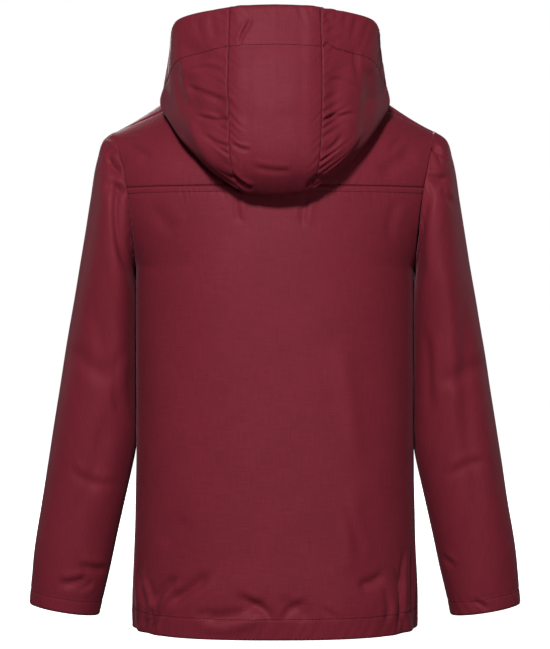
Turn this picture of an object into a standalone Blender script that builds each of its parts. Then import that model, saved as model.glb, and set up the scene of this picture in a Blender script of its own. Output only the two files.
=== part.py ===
"""A child's hooded windbreaker, filled out as when worn, with its hood hanging down the back.

The front faces -Y and the back +Y. The wearer's left is +X. The origin lies in the middle of the neck, at the
height of the shoulders, where the wearer carries the weight. Tables and sizes are in millimetres, and each
mesh is made in metres. Each cloth panel is a grid of outer points, which are given a wall inwards.
"""

import math

import bmesh
import bpy
import numpy as np
from mathutils import kdtree

MM = 0.001
WALL = 1.8  # one layer of cloth with its seams
TURNED_WALL = 2.8  # where the edge is turned in and stitched as a casing
HALF_SEAM = 0.15  # each panel ends this far from the seam line
FAMILIES = ("sleeve", "hood")  # what is sewn to the body, which is made first

# The torso, at each level: half width, depth behind and before the middle plane, and squareness
BODY_COLUMNS = ("z", "half_width", "back", "front", "squareness")
BODY_SECTIONS = (
    (-587.5, 156.0, 117.0, 112.0, 2.5),
    (-562.0, 156.5, 120.0, 115.0, 2.5),
    (-500.0, 154.0, 119.0, 114.0, 2.5),
    (-400.0, 152.0, 116.0, 112.0, 2.5),
    (-300.0, 152.0, 112.0, 110.0, 2.45),
    (-197.0, 152.0, 107.0, 107.0, 2.4),
    (-112.0, 152.0, 100.0, 98.0, 2.3),
)
HEM_Z = -587.5
CASING_Z = -565.5  # the hem casing's stitch line
YOKE_Z = -112.0  # the back yoke's lower seam

# The armhole runs from the tip of the shoulder round to the pit of the arm
TIP_X, TIP_Y, TIP_Z = 175.0, 5.0, -46.5
PIT_X, PIT_Y, PIT_Z = 152.0, 0.0, -197.0
ARMHOLE_DEPTH = 58.0
YOKE_ANGLE = math.acos(2.0 * (YOKE_Z - PIT_Z) / (TIP_Z - PIT_Z) - 1.0)  # where the yoke seam meets it

# The neckline in plan, and how its height falls from the nape to the top of the zip
NECK_HALF_WIDTH = 74.0
NECK_HALF_DEPTH = 72.0
NECK_Y = -10.0
NECK_SQUARENESS = 2.5
NECK_COLUMNS = ("angle", "z")
NECK_HEIGHTS = ((0, 8), (59.2, 1), (75, 1), (90, -6), (120, -27), (150, -47), (180, -58))
SHOULDER_ANGLE = 59.2  # from the nape, where the shoulder seam meets the neckline
SEAM_FALL = 58.0  # the shoulder seam's first slope down from the neck
SEAM_SLOPE = math.radians(42.0)  # how steeply the cloth climbs forward over the shoulder seam
NECK_SEAM_SLOPE = math.radians(15.0)  # the same at the neck, where the seam lies nearly on the ridge
NAPE_SLOPE = math.radians(50.0)
CHEST_SLOPE = math.radians(65.0)
NECK_TURN = math.radians(48.0)  # how far the front's cloth turns inwards as it rounds the side of the neck
ZIP_EDGE = 6.5  # each front's edge, from the middle of the zip

# How many columns of faces each panel has, and the share of its width that the columns at the neck take
BACK_NECK_COLUMNS = 10
FRONT_NECK_COLUMNS = 7
SHOULDER_COLUMNS = 10
BACK_NECK_SHARE = 0.55
FRONT_NECK_SHARE = 0.66
PANEL_SEAM_COLUMNS = 4  # of the back's, from its middle to the seam of the hood's middle strip
BODY_ROWS = 15
PIT_ROWS = 5
UPPER_ROWS = 6

# Each sleeve's rings: the outer and the inner end of each, seen from behind, and its half depth
SLEEVE_COLUMNS = ("out_x", "out_y", "out_z", "in_x", "in_y", "in_z", "half_depth", "scoop")
SLEEVE_RINGS = (
    (TIP_X, TIP_Y, TIP_Z, PIT_X, PIT_Y, PIT_Z, ARMHOLE_DEPTH, 2.0),
    (187.5, 4.0, -55.5, 154.0, 0.0, -203.0, 61.5, 1.7),
    (194.5, 3.0, -76.0, 153.0, 0.0, -213.0, 64.5, 1.3),
    (202.4, 2.0, -121.0, 151.0, 0.0, -238.0, 64.0, 1.1),
    (208.5, 0.0, -160.0, 150.5, 0.0, -262.0, 62.0, 1.0),
    (217.0, 0.0, -210.0, 150.5, 0.0, -296.0, 58.0, 1.0),
    (229.0, 0.0, -280.0, 150.5, 0.0, -343.0, 53.0, 1.0),
    (240.0, 0.0, -350.0, 152.0, 0.0, -388.0, 49.0, 1.0),
    (248.3, 0.0, -403.0, 158.0, 0.0, -420.0, 46.0, 1.0),
    (256.5, -1.0, -455.0, 169.5, -1.0, -470.0, 43.0, 1.0),
    (265.3, -3.0, -508.0, 181.0, -3.0, -523.0, 40.0, 1.0),
    (269.2, -5.0, -549.0, 190.0, -5.0, -562.0, 37.0, 1.0),
    (270.8, -6.0, -564.5, 193.3, -6.0, -577.5, 36.0, 1.0),
)
SLEEVE_ROWS = 22
SLEEVE_CLEAR = 0.9  # between the sleeve and the body's flank that it lies against
PIT_REACH = 8.0  # below the pit of the arm, where the sleeve begins to lie so
CUFF_SHARE = 0.97  # of the sleeve's length, where the turned hem begins

# The hood, by column from the top of the zip (0) to the nape (17). The fold is the bag's lowest line and the
# rim is the face opening's edge. The roll is the fold's thickness, and the belly the bulge above it.
HOOD_COLUMNS = (
    "column", "folded", "fold_x", "fold_y", "fold_z", "rim_x", "rim_y", "rim_z", "roll", "belly", "stand_out",
    "stand_up",
)
HOOD_STATIONS = (
    (0, 0.0, 10.0, -86.0, -54.0, 8.0, -85.0, -44.0, 0.6, 0.8, 0.4, 1.5),
    (2, 0.0, 52.0, -84.0, -40.0, 50.0, -84.0, -20.0, 4.0, 3.0, 3.0, 5.0),
    (4, 0.35, 90.0, -54.0, -10.0, 88.0, -46.0, 10.0, 5.0, 4.0, 4.0, 12.0),
    (6, 0.85, 110.0, -4.0, 2.0, 107.0, 4.0, 28.0, 5.0, 3.0, 6.0, 12.0),
    (7, 1.0, 116.0, 32.0, -17.0, 111.0, 32.0, 36.0, 5.0, 3.0, 7.0, 11.0),
    (9, 1.0, 106.0, 68.0, -48.0, 112.0, 64.0, 46.0, 8.0, 5.0, 8.0, 10.0),
    (11, 1.0, 76.0, 107.0, -89.0, 102.0, 99.0, 63.0, 15.0, 9.0, 9.0, 10.0),
    (13, 1.0, 37.0, 121.0, -118.5, 47.5, 127.0, 71.5, 21.0, 16.0, 9.0, 10.0),
    (15, 1.0, 18.0, 123.0, -123.0, 24.0, 130.0, 73.0, 23.0, 19.0, 9.0, 10.0),
    (17, 1.0, 0.0, 124.0, -124.5, 0.0, 131.0, 73.5, 23.0, 19.0, 9.0, 10.0),
)
UNFOLDED = (0.0, 0.1, 0.25, 0.4, 0.52, 0.75, 1.0)  # where the guide points lie on a profile that only stands up
HOOD_KNOTS = (2, 2, 3, 3, 3, 3)  # rows between the hood's seven guide points, from the neck to the rim

# Large folds, as seen from the face's own side: ends, width across and depth along the cloth's outward way
FOLD_COLUMNS = ("face", "x1", "z1", "x2", "z2", "width", "depth")
FOLDS = (
    (1, -70.0, -280.0, -86.0, -405.0, 22.0, 2.6),  # long soft ridge down the right of the back
    (1, -82.0, -430.0, -76.0, -520.0, 20.0, 2.0),
    (1, 92.0, -462.0, 120.0, -490.0, 18.0, -2.0),
    (1, 2.0, -561.0, 42.0, -541.0, 15.0, -3.0),  # slack cloth just above the hem casing
    (1, -6.0, -546.0, -38.0, -563.0, 15.0, -3.0),
    (1, -88.0, -532.0, -116.0, -522.0, 15.0, -3.0),
    (1, 71.0, -521.0, 110.0, -550.0, 15.0, -3.0),
    (-1, 40.0, -559.0, 84.0, -540.0, 15.0, -3.0),
    (-1, -52.0, -541.0, -92.0, -560.0, 15.0, -3.0),
    (-1, 78.0, -300.0, 66.0, -430.0, 22.0, 2.4),
    (-1, -62.0, -260.0, -80.0, -380.0, 22.0, 2.4),
    (1, -150.0, -72.0, -112.0, -99.0, 16.0, -3.0),  # drag across the right of the yoke
    (1, 186.0, -80.0, 166.0, -98.0, 16.0, -2.6),  # below the left shoulder's tip
    (1, 182.0, -106.0, 164.0, -118.0, 14.0, -2.6),
    (1, -188.0, -99.0, -168.0, -106.0, 14.0, -2.4),  # below the right shoulder's tip
    (-1, 184.0, -86.0, 160.0, -112.0, 16.0, -3.5),
    (-1, -184.0, -84.0, -162.0, -114.0, 16.0, -3.5),
    (1, 222.0, -285.0, 178.0, -318.0, 20.0, -2.6),  # behind the elbows
    (1, -226.0, -300.0, -180.0, -322.0, 20.0, -2.6),
    (-1, 230.0, -330.0, 176.0, -352.0, 20.0, -4.0),  # in the bend of the elbows
    (-1, -228.0, -322.0, -176.0, -350.0, 20.0, -4.0),
    (-1, 236.0, -366.0, 182.0, -380.0, 18.0, -3.0),
    (-1, -238.0, -370.0, -184.0, -378.0, 18.0, -3.0),
)

# Elastic in the hem at each side draws the cloth into upright gathers, a column of faces for each flank
GATHERS = 5
GATHER_DEPTH = 2.4
GATHER_SPREAD = math.radians(33.0)  # before and behind each side seam
GATHER_TOP = -536.0

# The zip, from the middle of its chain, and its depths below the cloth's outer side
TAPE_INNER, TAPE_OUTER = 3.3, 15.0
TAPE_FRONT, TAPE_BACK = 2.2, 3.3
CHAIN_HALF, CHAIN_FRONT, CHAIN_BACK = 3.0, 0.9, 3.6
RETAINER_HALF, RETAINER_HEIGHT, RETAINER_FRONT = 5.0, 9.0, -0.6
END_GAP = 0.5  # from the tapes and the box to the hem and the neck
PART_GAP = 0.3  # between the hard parts
POST_GAP = 0.4  # round the slider's post, and behind the box
SLIDER_DROP = 9.0  # the slider's middle, below the top of the zip
SLIDER_HALF_WIDTH, SLIDER_HALF_HEIGHT = 4.4, 5.2
PLATE = 1.1
POST_LOW, POST_HIGH = 1.6, 4.2
BAIL_HALF_WIDTH, BAIL_HALF_HEIGHT, BAIL_RISE, BAIL_WIRE = 0.9, 3.5, 3.3, 1.0
PIVOT_RISE = 1.55  # the pull tab's axis above the slider's front plate
PULL_HALF_WIDTH, PULL_LENGTH, PULL_THICKNESS = 3.6, 24.0, 1.3
WINDOW_HALF_WIDTH, WINDOW_LENGTH, PULL_TOP = 2.0, 4.6, 0.8

CLOTH_COLOUR = (0.168, 0.022, 0.034)
HOOD_COLOUR = (0.175, 0.023, 0.036)
TAPE_COLOUR = (0.105, 0.014, 0.022)
CHAIN_COLOUR = (0.090, 0.013, 0.020)
METAL_COLOUR = (0.200, 0.190, 0.190)


def through(table, at, key=0):
    """Every column of a table, read at some values of its key column from a smooth curve through the rows."""
    rows = np.array(table, float)
    keys = rows[:, key]
    slopes = np.gradient(rows, keys, axis=0)
    at = np.clip(np.asarray(at, float), keys[0], keys[-1])
    row = np.clip(np.searchsorted(keys, at, side="right") - 1, 0, len(keys) - 2)
    step = (keys[row + 1] - keys[row])[..., None]
    t = (at - keys[row])[..., None] / step
    start, end = rows[row], rows[row + 1]
    start_slope, end_slope = slopes[row] * step, slopes[row + 1] * step
    return (
        start * (1 + 2 * t) * (1 - t) ** 2
        + start_slope * t * (1 - t) ** 2
        + end * t**2 * (3 - 2 * t)
        - end_slope * t**2 * (1 - t)
    )


def smooth_step(value):
    value = np.clip(value, 0.0, 1.0)
    return value * value * (3.0 - 2.0 * value)


def points(x, y, z):
    return np.stack(np.broadcast_arrays(x, y, z), axis=-1).astype(float)


def armhole(angle):
    """The armhole seam. The angle runs from the shoulder's tip, and is positive behind."""
    height = (1.0 + np.cos(angle)) / 2.0
    x = PIT_X + (TIP_X - PIT_X) * height**2
    y = PIT_Y + (TIP_Y - PIT_Y) * height + ARMHOLE_DEPTH * np.sin(angle)
    return points(x, y, PIT_Z + (TIP_Z - PIT_Z) * height)


def body_section(z, share, face):
    """The torso at a level, from the middle (share 0) to the side seam or the armhole (share 1)."""
    z, share = np.broadcast_arrays(np.asarray(z, float), share)
    table = through(BODY_SECTIONS, z)
    depth = table[..., BODY_COLUMNS.index("back" if face > 0 else "front")]
    power = table[..., BODY_COLUMNS.index("squareness")]
    level = np.clip((z - PIT_Z) / (TIP_Z - PIT_Z), 0.0, 1.0)
    edge = armhole(face * np.arccos(2.0 * level - 1.0))
    above_pit = z > PIT_Z
    edge_x = np.where(above_pit, edge[..., 0], table[..., BODY_COLUMNS.index("half_width")])
    edge_y = np.where(above_pit, np.abs(edge[..., 1]), 0.0)
    full_width = edge_x / (1.0 - (edge_y / depth) ** power) ** (1.0 / power)
    first = 0.0 if face > 0 else np.arctan2(ZIP_EDGE, depth)
    turn = first + (np.arctan2(edge_x, edge_y) - first) * share
    reach = ((np.sin(turn) / full_width) ** power + (np.cos(turn) / depth) ** power) ** (-1.0 / power)
    return points(reach * np.sin(turn), face * reach * np.cos(turn), z)


def neckline(angle):
    """The neck seam, by its angle in degrees from the nape."""
    turn = np.radians(angle)
    across = np.abs(np.sin(turn)) / NECK_HALF_WIDTH
    along = np.abs(np.cos(turn)) / NECK_HALF_DEPTH
    reach = (across**NECK_SQUARENESS + along**NECK_SQUARENESS) ** (-1.0 / NECK_SQUARENESS)
    height = through(NECK_HEIGHTS, angle)[..., NECK_COLUMNS.index("z")]
    return points(reach * np.sin(turn), NECK_Y + reach * np.cos(turn), height)


def shoulder_seam(share):
    """The seam from the neckline (0), a little behind the shoulder's ridge, to the tip (1)."""
    neck = neckline(np.array(SHOULDER_ANGLE))
    x = neck[0] + (TIP_X - neck[0]) * share
    y = neck[1] + 6.0 * share - (neck[1] + 6.0 - TIP_Y) * share**2
    z = neck[2] - SEAM_FALL * share + (TIP_Z - neck[2] + SEAM_FALL) * share**2
    return points(x, y, z)


def top_edge(share, face):
    """The upper edge of the yoke or of a front: the neckline first, and then the shoulder seam."""
    first = 0.0 if face > 0 else 180.0 - math.degrees(math.atan2(ZIP_EDGE, NECK_HALF_DEPTH))
    neck_share = BACK_NECK_SHARE if face > 0 else FRONT_NECK_SHARE
    on_neck = neckline(first + (SHOULDER_ANGLE - first) * np.clip(share / neck_share, 0.0, 1.0))
    on_shoulder = shoulder_seam(np.clip((share - neck_share) / (1.0 - neck_share), 0.0, 1.0))
    return np.where((share <= neck_share)[..., None], on_neck, on_shoulder)


def upper_panel(share, rise, face):
    """The yoke, or a front above the chest: from the yoke's level (rise 0) to the upper edge (rise 1)."""
    low, high = body_section(YOKE_Z, share, face), top_edge(share, face)
    chord = np.linalg.norm(high - low, axis=-1)
    spread = high[..., 0] - low[..., 0]
    neck_share = BACK_NECK_SHARE if face > 0 else FRONT_NECK_SHARE
    on_neck = np.clip(share / neck_share, 0.0, 1.0)
    on_shoulder = np.clip((share - neck_share) / (1.0 - neck_share), 0.0, 1.0)
    from_neck = smooth_step(on_shoulder / 0.35)
    to_tip = (NECK_SEAM_SLOPE + (SEAM_SLOPE - NECK_SEAM_SLOPE) * from_neck) * (1.0 - on_shoulder) ** 0.45
    arch = 4.0 * on_shoulder * (1.0 - on_shoulder)
    if face > 0:
        slope = np.where(on_shoulder > 0.0, to_tip, NAPE_SLOPE + (NECK_SEAM_SLOPE - NAPE_SLOPE) * on_neck)
        start = points(spread, -0.05 * chord, (1.0 + 0.25 * on_shoulder) * chord)
        pull = (1.1 + 0.1 * on_shoulder + 0.1 * arch) * chord
        end = points(spread, -np.cos(slope) * pull, np.sin(slope) * pull)
    else:
        slope = np.where(on_shoulder > 0.0, -to_tip, CHEST_SLOPE - (CHEST_SLOPE + NECK_SEAM_SLOPE) * on_neck**1.4)
        start = points(spread, 0.15 * chord, (0.9 + 0.5 * on_neck) * chord)
        pull = (0.9 + 0.25 * on_neck + 0.45 * arch) * chord
        round_neck = NECK_TURN * np.sin(0.8 * math.pi * on_neck**1.3) * (1.0 - on_shoulder) ** 2
        level = np.cos(slope) * np.cos(round_neck) * pull
        end = points(spread - 0.62 * chord * np.sin(round_neck), level, np.sin(slope) * pull)
    t = rise[..., None]
    grid = (
        low * (1 + 2 * t) * (1 - t) ** 2 + start * t * (1 - t) ** 2 + high * t**2 * (3 - 2 * t) - end * t**2 * (1 - t)
    )
    if np.all(share == 1.0):
        return grid
    drawn = upper_panel(np.ones_like(share), rise, face)
    arc = armhole(face * YOKE_ANGLE * (1.0 - rise))
    return grid + (arc - drawn) * smooth_step((share - 0.7) / 0.3)[..., None]


def panel(columns, rows, face, upper=True):
    """One half of the back, the yoke or a front, as a grid from the hem up and from the middle to the side.

    The rows are counted 0 to 1 from the hem to the pit, 1 to 2 to the yoke's level and 2 to 3 to the top.
    """
    share, row = np.meshgrid(columns, rows)
    to_pit = np.clip(row, 0.0, 1.0)
    past_pit = np.clip(row - 1.0, 0.0, 1.0)
    angle = math.pi + (YOKE_ANGLE - math.pi) * past_pit
    at_edge = PIT_Z + (TIP_Z - PIT_Z) * (1.0 + np.cos(angle)) / 2.0
    at_middle = PIT_Z + (YOKE_Z - PIT_Z) * past_pit
    z = np.where(row <= 1.0, HEM_Z + (PIT_Z - HEM_Z) * to_pit, at_middle + (at_edge - at_middle) * share**3)
    grid = body_section(z, share, face)
    if upper:
        above = upper_panel(share, np.clip(row - 2.0, 0.0, 1.0), face)
        grid = np.where((row > 2.0)[..., None], above, grid)
    return grid


def sleeve(angles, places):
    """The left sleeve: rings from the armhole (place 0) to the cuff (place 1), each from its outer end."""
    ends = np.array(SLEEVE_RINGS, float)
    lengths = np.concatenate([[0.0], np.cumsum(np.linalg.norm(np.diff(ends[:, :3], axis=0), axis=1))])
    table = np.column_stack([ends, lengths / lengths[-1]])
    angle, place = np.meshgrid(angles, places)
    ring = through(table, place, key=len(SLEEVE_COLUMNS))
    value = {name: ring[..., i] for i, name in enumerate(SLEEVE_COLUMNS)}
    height = (1.0 + np.cos(angle)) / 2.0
    x = value["in_x"] + (value["out_x"] - value["in_x"]) * height ** value["scoop"]
    y = value["in_y"] + (value["out_y"] - value["in_y"]) * height + value["half_depth"] * np.sin(angle)
    z = value["in_z"] + (value["out_z"] - value["in_z"]) * height
    body = through(BODY_SECTIONS, z)
    power = body[..., BODY_COLUMNS.index("squareness")]
    depth = np.where(y > 0.0, body[..., BODY_COLUMNS.index("back")], body[..., BODY_COLUMNS.index("front")])
    flank = body[..., BODY_COLUMNS.index("half_width")] * (1.0 - np.abs(y / depth) ** power) ** (1.0 / power)
    below_pit = smooth_step((PIT_Z - z) / PIT_REACH)
    lain = np.maximum(x, flank + SLEEVE_CLEAR)
    return points(x + (lain - x) * below_pit, y, z)


def hood(columns, knots):
    """Half of the hood: profiles from the neck seam (knot 0) down, round the fold and up to the rim (knot 6)."""
    column, knot = np.meshgrid(columns, knots)
    table = through(HOOD_STATIONS, column[0])
    value = {name: table[:, i] for i, name in enumerate(HOOD_COLUMNS)}
    on_front = np.clip(column[0] / FRONT_NECK_COLUMNS, 0.0, 1.0)
    on_back = np.clip((column[0] - FRONT_NECK_COLUMNS) / BACK_NECK_COLUMNS, 0.0, 1.0)
    zip_angle = 180.0 - math.degrees(math.atan2(ZIP_EDGE, NECK_HALF_DEPTH))
    seam = neckline(zip_angle + (SHOULDER_ANGLE - zip_angle) * on_front - SHOULDER_ANGLE * on_back)
    fold = points(value["fold_x"], value["fold_y"], value["fold_z"])
    rim = points(value["rim_x"], value["rim_y"], value["rim_z"])
    outward = fold * (1, 1, 0) - (0, 10, 0)
    outward /= np.linalg.norm(outward, axis=1)[:, None]
    up = np.array((0.0, 0.0, 1.0))
    roll, belly = value["roll"][:, None], value["belly"][:, None]
    stand = seam + outward * value["stand_out"][:, None] + up * value["stand_up"][:, None]
    falling = stand + (fold - stand) * 0.5 + outward * 4.0 + up * 0.15 * roll
    turned = fold + outward * roll + up * roll * 0.8
    bulge = fold + (rim - fold) * 0.42 + outward * (0.3 * roll + belly)
    guides = np.stack([seam, stand, falling, fold, turned, bulge, rim])
    share = np.array(UNFOLDED)[:, None, None]
    standing = seam + (rim - seam) * share + outward * belly * np.sin(math.pi * share)
    guides = standing + (guides - standing) * value["folded"][:, None]
    lengths = np.linalg.norm(np.diff(guides, axis=0), axis=2)
    keys = np.concatenate([np.zeros((1, guides.shape[1])), np.cumsum(lengths, axis=0)])
    grid = np.empty(column.shape + (3,))
    whole = np.clip(knot.astype(int), 0, len(guides) - 2)
    for i in range(guides.shape[1]):
        at = keys[whole[:, i], i] + (knot[:, i] - whole[:, i]) * lengths[whole[:, i], i]
        grid[:, i] = through(np.column_stack([keys[:, i], guides[:, i]]), at)[:, 1:]
    grid[:, :, 0] *= np.where(column == HOOD_STATIONS[-1][0], 0.0, 1.0)
    return grid


def mirrored(grid):
    """The wearer's right half, with its columns in the order that keeps the outside out."""
    return (grid * (-1, 1, 1))[:, ::-1]


def both_halves(grid):
    """A whole panel from its left half, whose first column lies in the middle plane."""
    return np.concatenate([mirrored(grid)[:, :-1], grid], axis=1)


class Panel:
    """A grid of outer points, rows by columns, and how it is made up."""

    def __init__(self, name, grid, colour, outward, turned, tube=False):
        self.name, self.grid, self.colour = name, np.array(grid), colour
        self.outward, self.tube = outward, tube
        self.family = FAMILIES.index(name.split("_")[0]) if name.split("_")[0] in FAMILIES else -1
        from_zip = smooth_step((np.abs(grid[..., 0]) - 20.0) / 15.0)
        self.wall = WALL + (TURNED_WALL - WALL) * np.where(turned, from_zip, 0.0)

    def normals(self):
        """The sum, at each point, of the outward normals of the faces round it, each as long as its face is large."""
        grid = np.concatenate([self.grid, self.grid[:, :1]], axis=1) if self.tube else self.grid
        across = grid[1:, 1:] - grid[:-1, :-1]
        other = grid[1:, :-1] - grid[:-1, 1:]
        face = np.cross(across, other) * self.outward
        total = np.zeros_like(grid)
        for rows in (slice(None, -1), slice(1, None)):
            for columns in (slice(None, -1), slice(1, None)):
                total[rows, columns] += face
        if self.tube:
            total[:, 0] += total[:, -1]
            total = total[:, :-1]
        return total


def shared_normals(panels):
    """Normals that agree wherever panels meet, so that their edges stay parallel across each seam.

    Where a sleeve or the hood turns back on the body at its seam, as in the pit of the arm, each keeps its own.
    """
    every = np.concatenate([p.grid.reshape(-1, 3) for p in panels])
    total = np.concatenate([p.normals().reshape(-1, 3) for p in panels])
    family = np.concatenate([np.full(p.grid.shape[0] * p.grid.shape[1], p.family) for p in panels])
    tree = kdtree.KDTree(len(every))
    for i, place in enumerate(every):
        tree.insert(place, i)
    tree.balance()
    own, joined = total.copy(), total.copy()
    for i, place in enumerate(every):
        met = [k for _, k, _ in tree.find_range(place, 0.02)]
        if len(met) > 1:
            joined[i] = total[met].sum(axis=0)
            own[i] = total[[k for k in met if family[k] == family[i]]].sum(axis=0)
    own /= np.linalg.norm(own, axis=1)[:, None]
    joined /= np.linalg.norm(joined, axis=1)[:, None]
    apart = smooth_step((0.85 - (own * joined).sum(axis=1)) / 0.35)[:, None]
    joined += (own - joined) * apart
    joined /= np.linalg.norm(joined, axis=1)[:, None]
    found, start = [], 0
    for p in panels:
        count = p.grid.shape[0] * p.grid.shape[1]
        found.append(joined[start : start + count].reshape(p.grid.shape))
        start += count
    return found


def relief(grid, normal, hooded):
    """How far the folds and gathers move each point outwards."""
    x, y, z = np.moveaxis(grid, -1, 0)
    moved = np.zeros(x.shape)
    for row in FOLDS:
        fold = dict(zip(FOLD_COLUMNS, row))
        along = np.array((fold["x2"] - fold["x1"], fold["z2"] - fold["z1"]))
        length = np.hypot(*along)
        away = np.stack([x - fold["x1"], z - fold["z1"]], axis=-1)
        share = (away @ along) / length**2
        aside = (away[..., 0] * along[1] - away[..., 1] * along[0]) / length
        faded = smooth_step(share / 0.35 + 0.3) * smooth_step((1.0 - share) / 0.35 + 0.3)
        facing = smooth_step(normal[..., 1] * fold["face"] * 2.0)
        moved += fold["depth"] * faded * facing * np.exp(-((2.0 * aside / fold["width"]) ** 2))
    around = np.arctan2(np.abs(y), np.abs(x))
    phase = around / GATHER_SPREAD * GATHERS * math.pi + np.where(y > 0, 0.0, 0.9) * smooth_step(np.abs(y) / 20.0)
    gathered = smooth_step((GATHER_SPREAD * 1.25 - around) / 0.2) * smooth_step((GATHER_TOP - z) / 30.0)
    on_body = (np.abs(x) < 161.0) & (z < GATHER_TOP)
    moved -= np.where(on_body, GATHER_DEPTH * gathered * (0.5 + 0.5 * np.cos(phase)), 0.0)
    return moved * (0.0 if hooded else 1.0)


def closed_wall(p, normal):
    """The panel as one closed solid: its outer grid, its inner grid and the rims that join them."""
    outer = p.grid.copy()
    inner = outer - normal * p.wall[..., None]
    ends = [(0, 1), (-1, -2)]
    for edge, inside in ends:
        for sheet in (outer, inner):
            way = sheet[inside] - sheet[edge]
            sheet[edge] += way / np.linalg.norm(way, axis=1)[:, None] * HALF_SEAM
    if p.tube:  # a sleeve starts a little further out than the armhole
        for sheet in (outer, inner):
            sheet[0, :, 0] += np.sign(sheet[0, :, 0]) * HALF_SEAM
    if not p.tube:
        for edge, inside in ends:
            for sheet in (outer, inner):
                way = sheet[:, inside] - sheet[:, edge]
                sheet[:, edge] += way / np.linalg.norm(way, axis=1)[:, None] * HALF_SEAM
    mesh = bmesh.new()
    sheets = []
    for sheet in (outer, inner):
        sheets.append([[mesh.verts.new(place * MM) for place in row] for row in sheet])
    rows, columns = p.grid.shape[:2]
    wide = columns if p.tube else columns - 1
    faces = []
    for sheet in sheets:
        for i in range(rows - 1):
            for j in range(wide):
                k = (j + 1) % columns
                faces.append((sheet[i][j], sheet[i][k], sheet[i + 1][k], sheet[i + 1][j]))
    top, under = sheets
    for i in (0, rows - 1):
        for j in range(wide):
            k = (j + 1) % columns
            faces.append((top[i][j], top[i][k], under[i][k], under[i][j]))
    if not p.tube:
        for j in (0, columns - 1):
            for i in range(rows - 1):
                faces.append((top[i][j], top[i + 1][j], under[i + 1][j], under[i][j]))
    first = 1 if p.name.endswith("_right") else 0  # so that both sides of the garment are split into triangles alike
    for corners in faces:
        mesh.faces.new(corners[first:] + corners[:first])
    bmesh.ops.recalc_face_normals(mesh, faces=mesh.faces)
    return mesh


def material(name, colour, roughness, metallic=0.0):
    made = bpy.data.materials.new(name)
    made.use_nodes = True
    surface = made.node_tree.nodes["Principled BSDF"]
    surface.inputs["Base Color"].default_value = (*colour, 1.0)
    surface.inputs["Roughness"].default_value = roughness
    surface.inputs["Metallic"].default_value = metallic
    return made


def place_object(name, mesh, finish, smooth=True):
    data = bpy.data.meshes.new(name)
    mesh.to_mesh(data)
    mesh.free()
    if smooth:
        data.shade_smooth()
    data.materials.append(finish)
    made = bpy.data.objects.new(name, data)
    bpy.context.scene.collection.objects.link(made)
    return made


# ---- Start from an empty scene ----
for old in list(bpy.data.objects):
    bpy.data.objects.remove(old, do_unlink=True)

# ---- The cloth panels' grids ----
back_columns = np.concatenate([
    np.linspace(0.0, BACK_NECK_SHARE, BACK_NECK_COLUMNS + 1),
    np.linspace(BACK_NECK_SHARE, 1.0, SHOULDER_COLUMNS + 1)[1:],
])
front_columns = np.concatenate([
    np.linspace(0.0, FRONT_NECK_SHARE, FRONT_NECK_COLUMNS + 1),
    np.linspace(FRONT_NECK_SHARE, 1.0, SHOULDER_COLUMNS + 1)[1:],
])
casing_row = (CASING_Z - HEM_Z) / (PIT_Z - HEM_Z)
low_rows = np.concatenate([[0.0, casing_row / 2], np.linspace(casing_row, 1.0, BODY_ROWS - 1)])
pit_rows = 1.0 + np.linspace(0.0, 1.0, PIT_ROWS + 1)
top_rows = 2.0 + np.linspace(0.0, 1.0, UPPER_ROWS + 1)

back_rows = np.concatenate([low_rows, pit_rows[1:]])
front_rows = np.concatenate([back_rows, top_rows[1:]])
back_half = panel(back_columns, back_rows, 1, upper=False)
yoke_half = panel(back_columns, top_rows, 1)
front_half = panel(front_columns, front_rows, -1)

ring_angles = np.concatenate([
    np.linspace(0.0, YOKE_ANGLE, UPPER_ROWS + 1),
    np.linspace(YOKE_ANGLE, math.pi, PIT_ROWS + 1)[1:],
])
ring_angles = np.concatenate([ring_angles, -ring_angles[-2:0:-1]])
ring_places = np.concatenate([[0.0, 0.0125, 0.025, 0.045, 0.07], np.linspace(0.10, CUFF_SHARE, SLEEVE_ROWS - 5), [1.0]])
sleeve_left = sleeve(ring_angles, ring_places)

hood_knots = [float(i) + j / n for i, n in enumerate(HOOD_KNOTS) for j in range(n)] + [float(len(HOOD_KNOTS))]
seam_column = HOOD_STATIONS[-1][0] - PANEL_SEAM_COLUMNS
hood_side = hood(np.arange(0, seam_column + 1), hood_knots)
hood_middle = hood(np.arange(seam_column, HOOD_STATIONS[-1][0] + 1), hood_knots)[:, ::-1]

hem_rows = (back_rows <= casing_row + 1e-6)[:, None]
front_hem_rows = (front_rows <= casing_row + 1e-6)[:, None]
cuff_rows = (ring_places >= CUFF_SHARE - 1e-6)[:, None]
rim_rows = (np.array(hood_knots) > len(HOOD_KNOTS) - 0.5)[:, None]
panels = [
    Panel("back_body", both_halves(back_half), CLOTH_COLOUR, -1, hem_rows),
    Panel("back_yoke", both_halves(yoke_half), CLOTH_COLOUR, -1, False),
    Panel("front_left", front_half, CLOTH_COLOUR, 1, front_hem_rows),
    Panel("front_right", mirrored(front_half), CLOTH_COLOUR, 1, front_hem_rows),
    Panel("sleeve_left", sleeve_left, CLOTH_COLOUR, -1, cuff_rows, tube=True),
    Panel("sleeve_right", mirrored(sleeve_left), CLOTH_COLOUR, -1, cuff_rows, tube=True),
    Panel("hood_centre", both_halves(hood_middle), HOOD_COLOUR, -1, rim_rows),
    Panel("hood_left", hood_side, HOOD_COLOUR, 1, rim_rows),
    Panel("hood_right", mirrored(hood_side), HOOD_COLOUR, 1, rim_rows),
]

# ---- Folds and gathers, and then each panel's wall ----
for made, normal in zip(panels, shared_normals(panels)):
    made.grid += normal * relief(made.grid, normal, made.name.startswith("hood"))[..., None]
normals = shared_normals(panels)
for made, normal in zip(panels, normals):
    place_object(made.name, closed_wall(made, normal), material(made.name, made.colour, 0.55))

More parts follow.
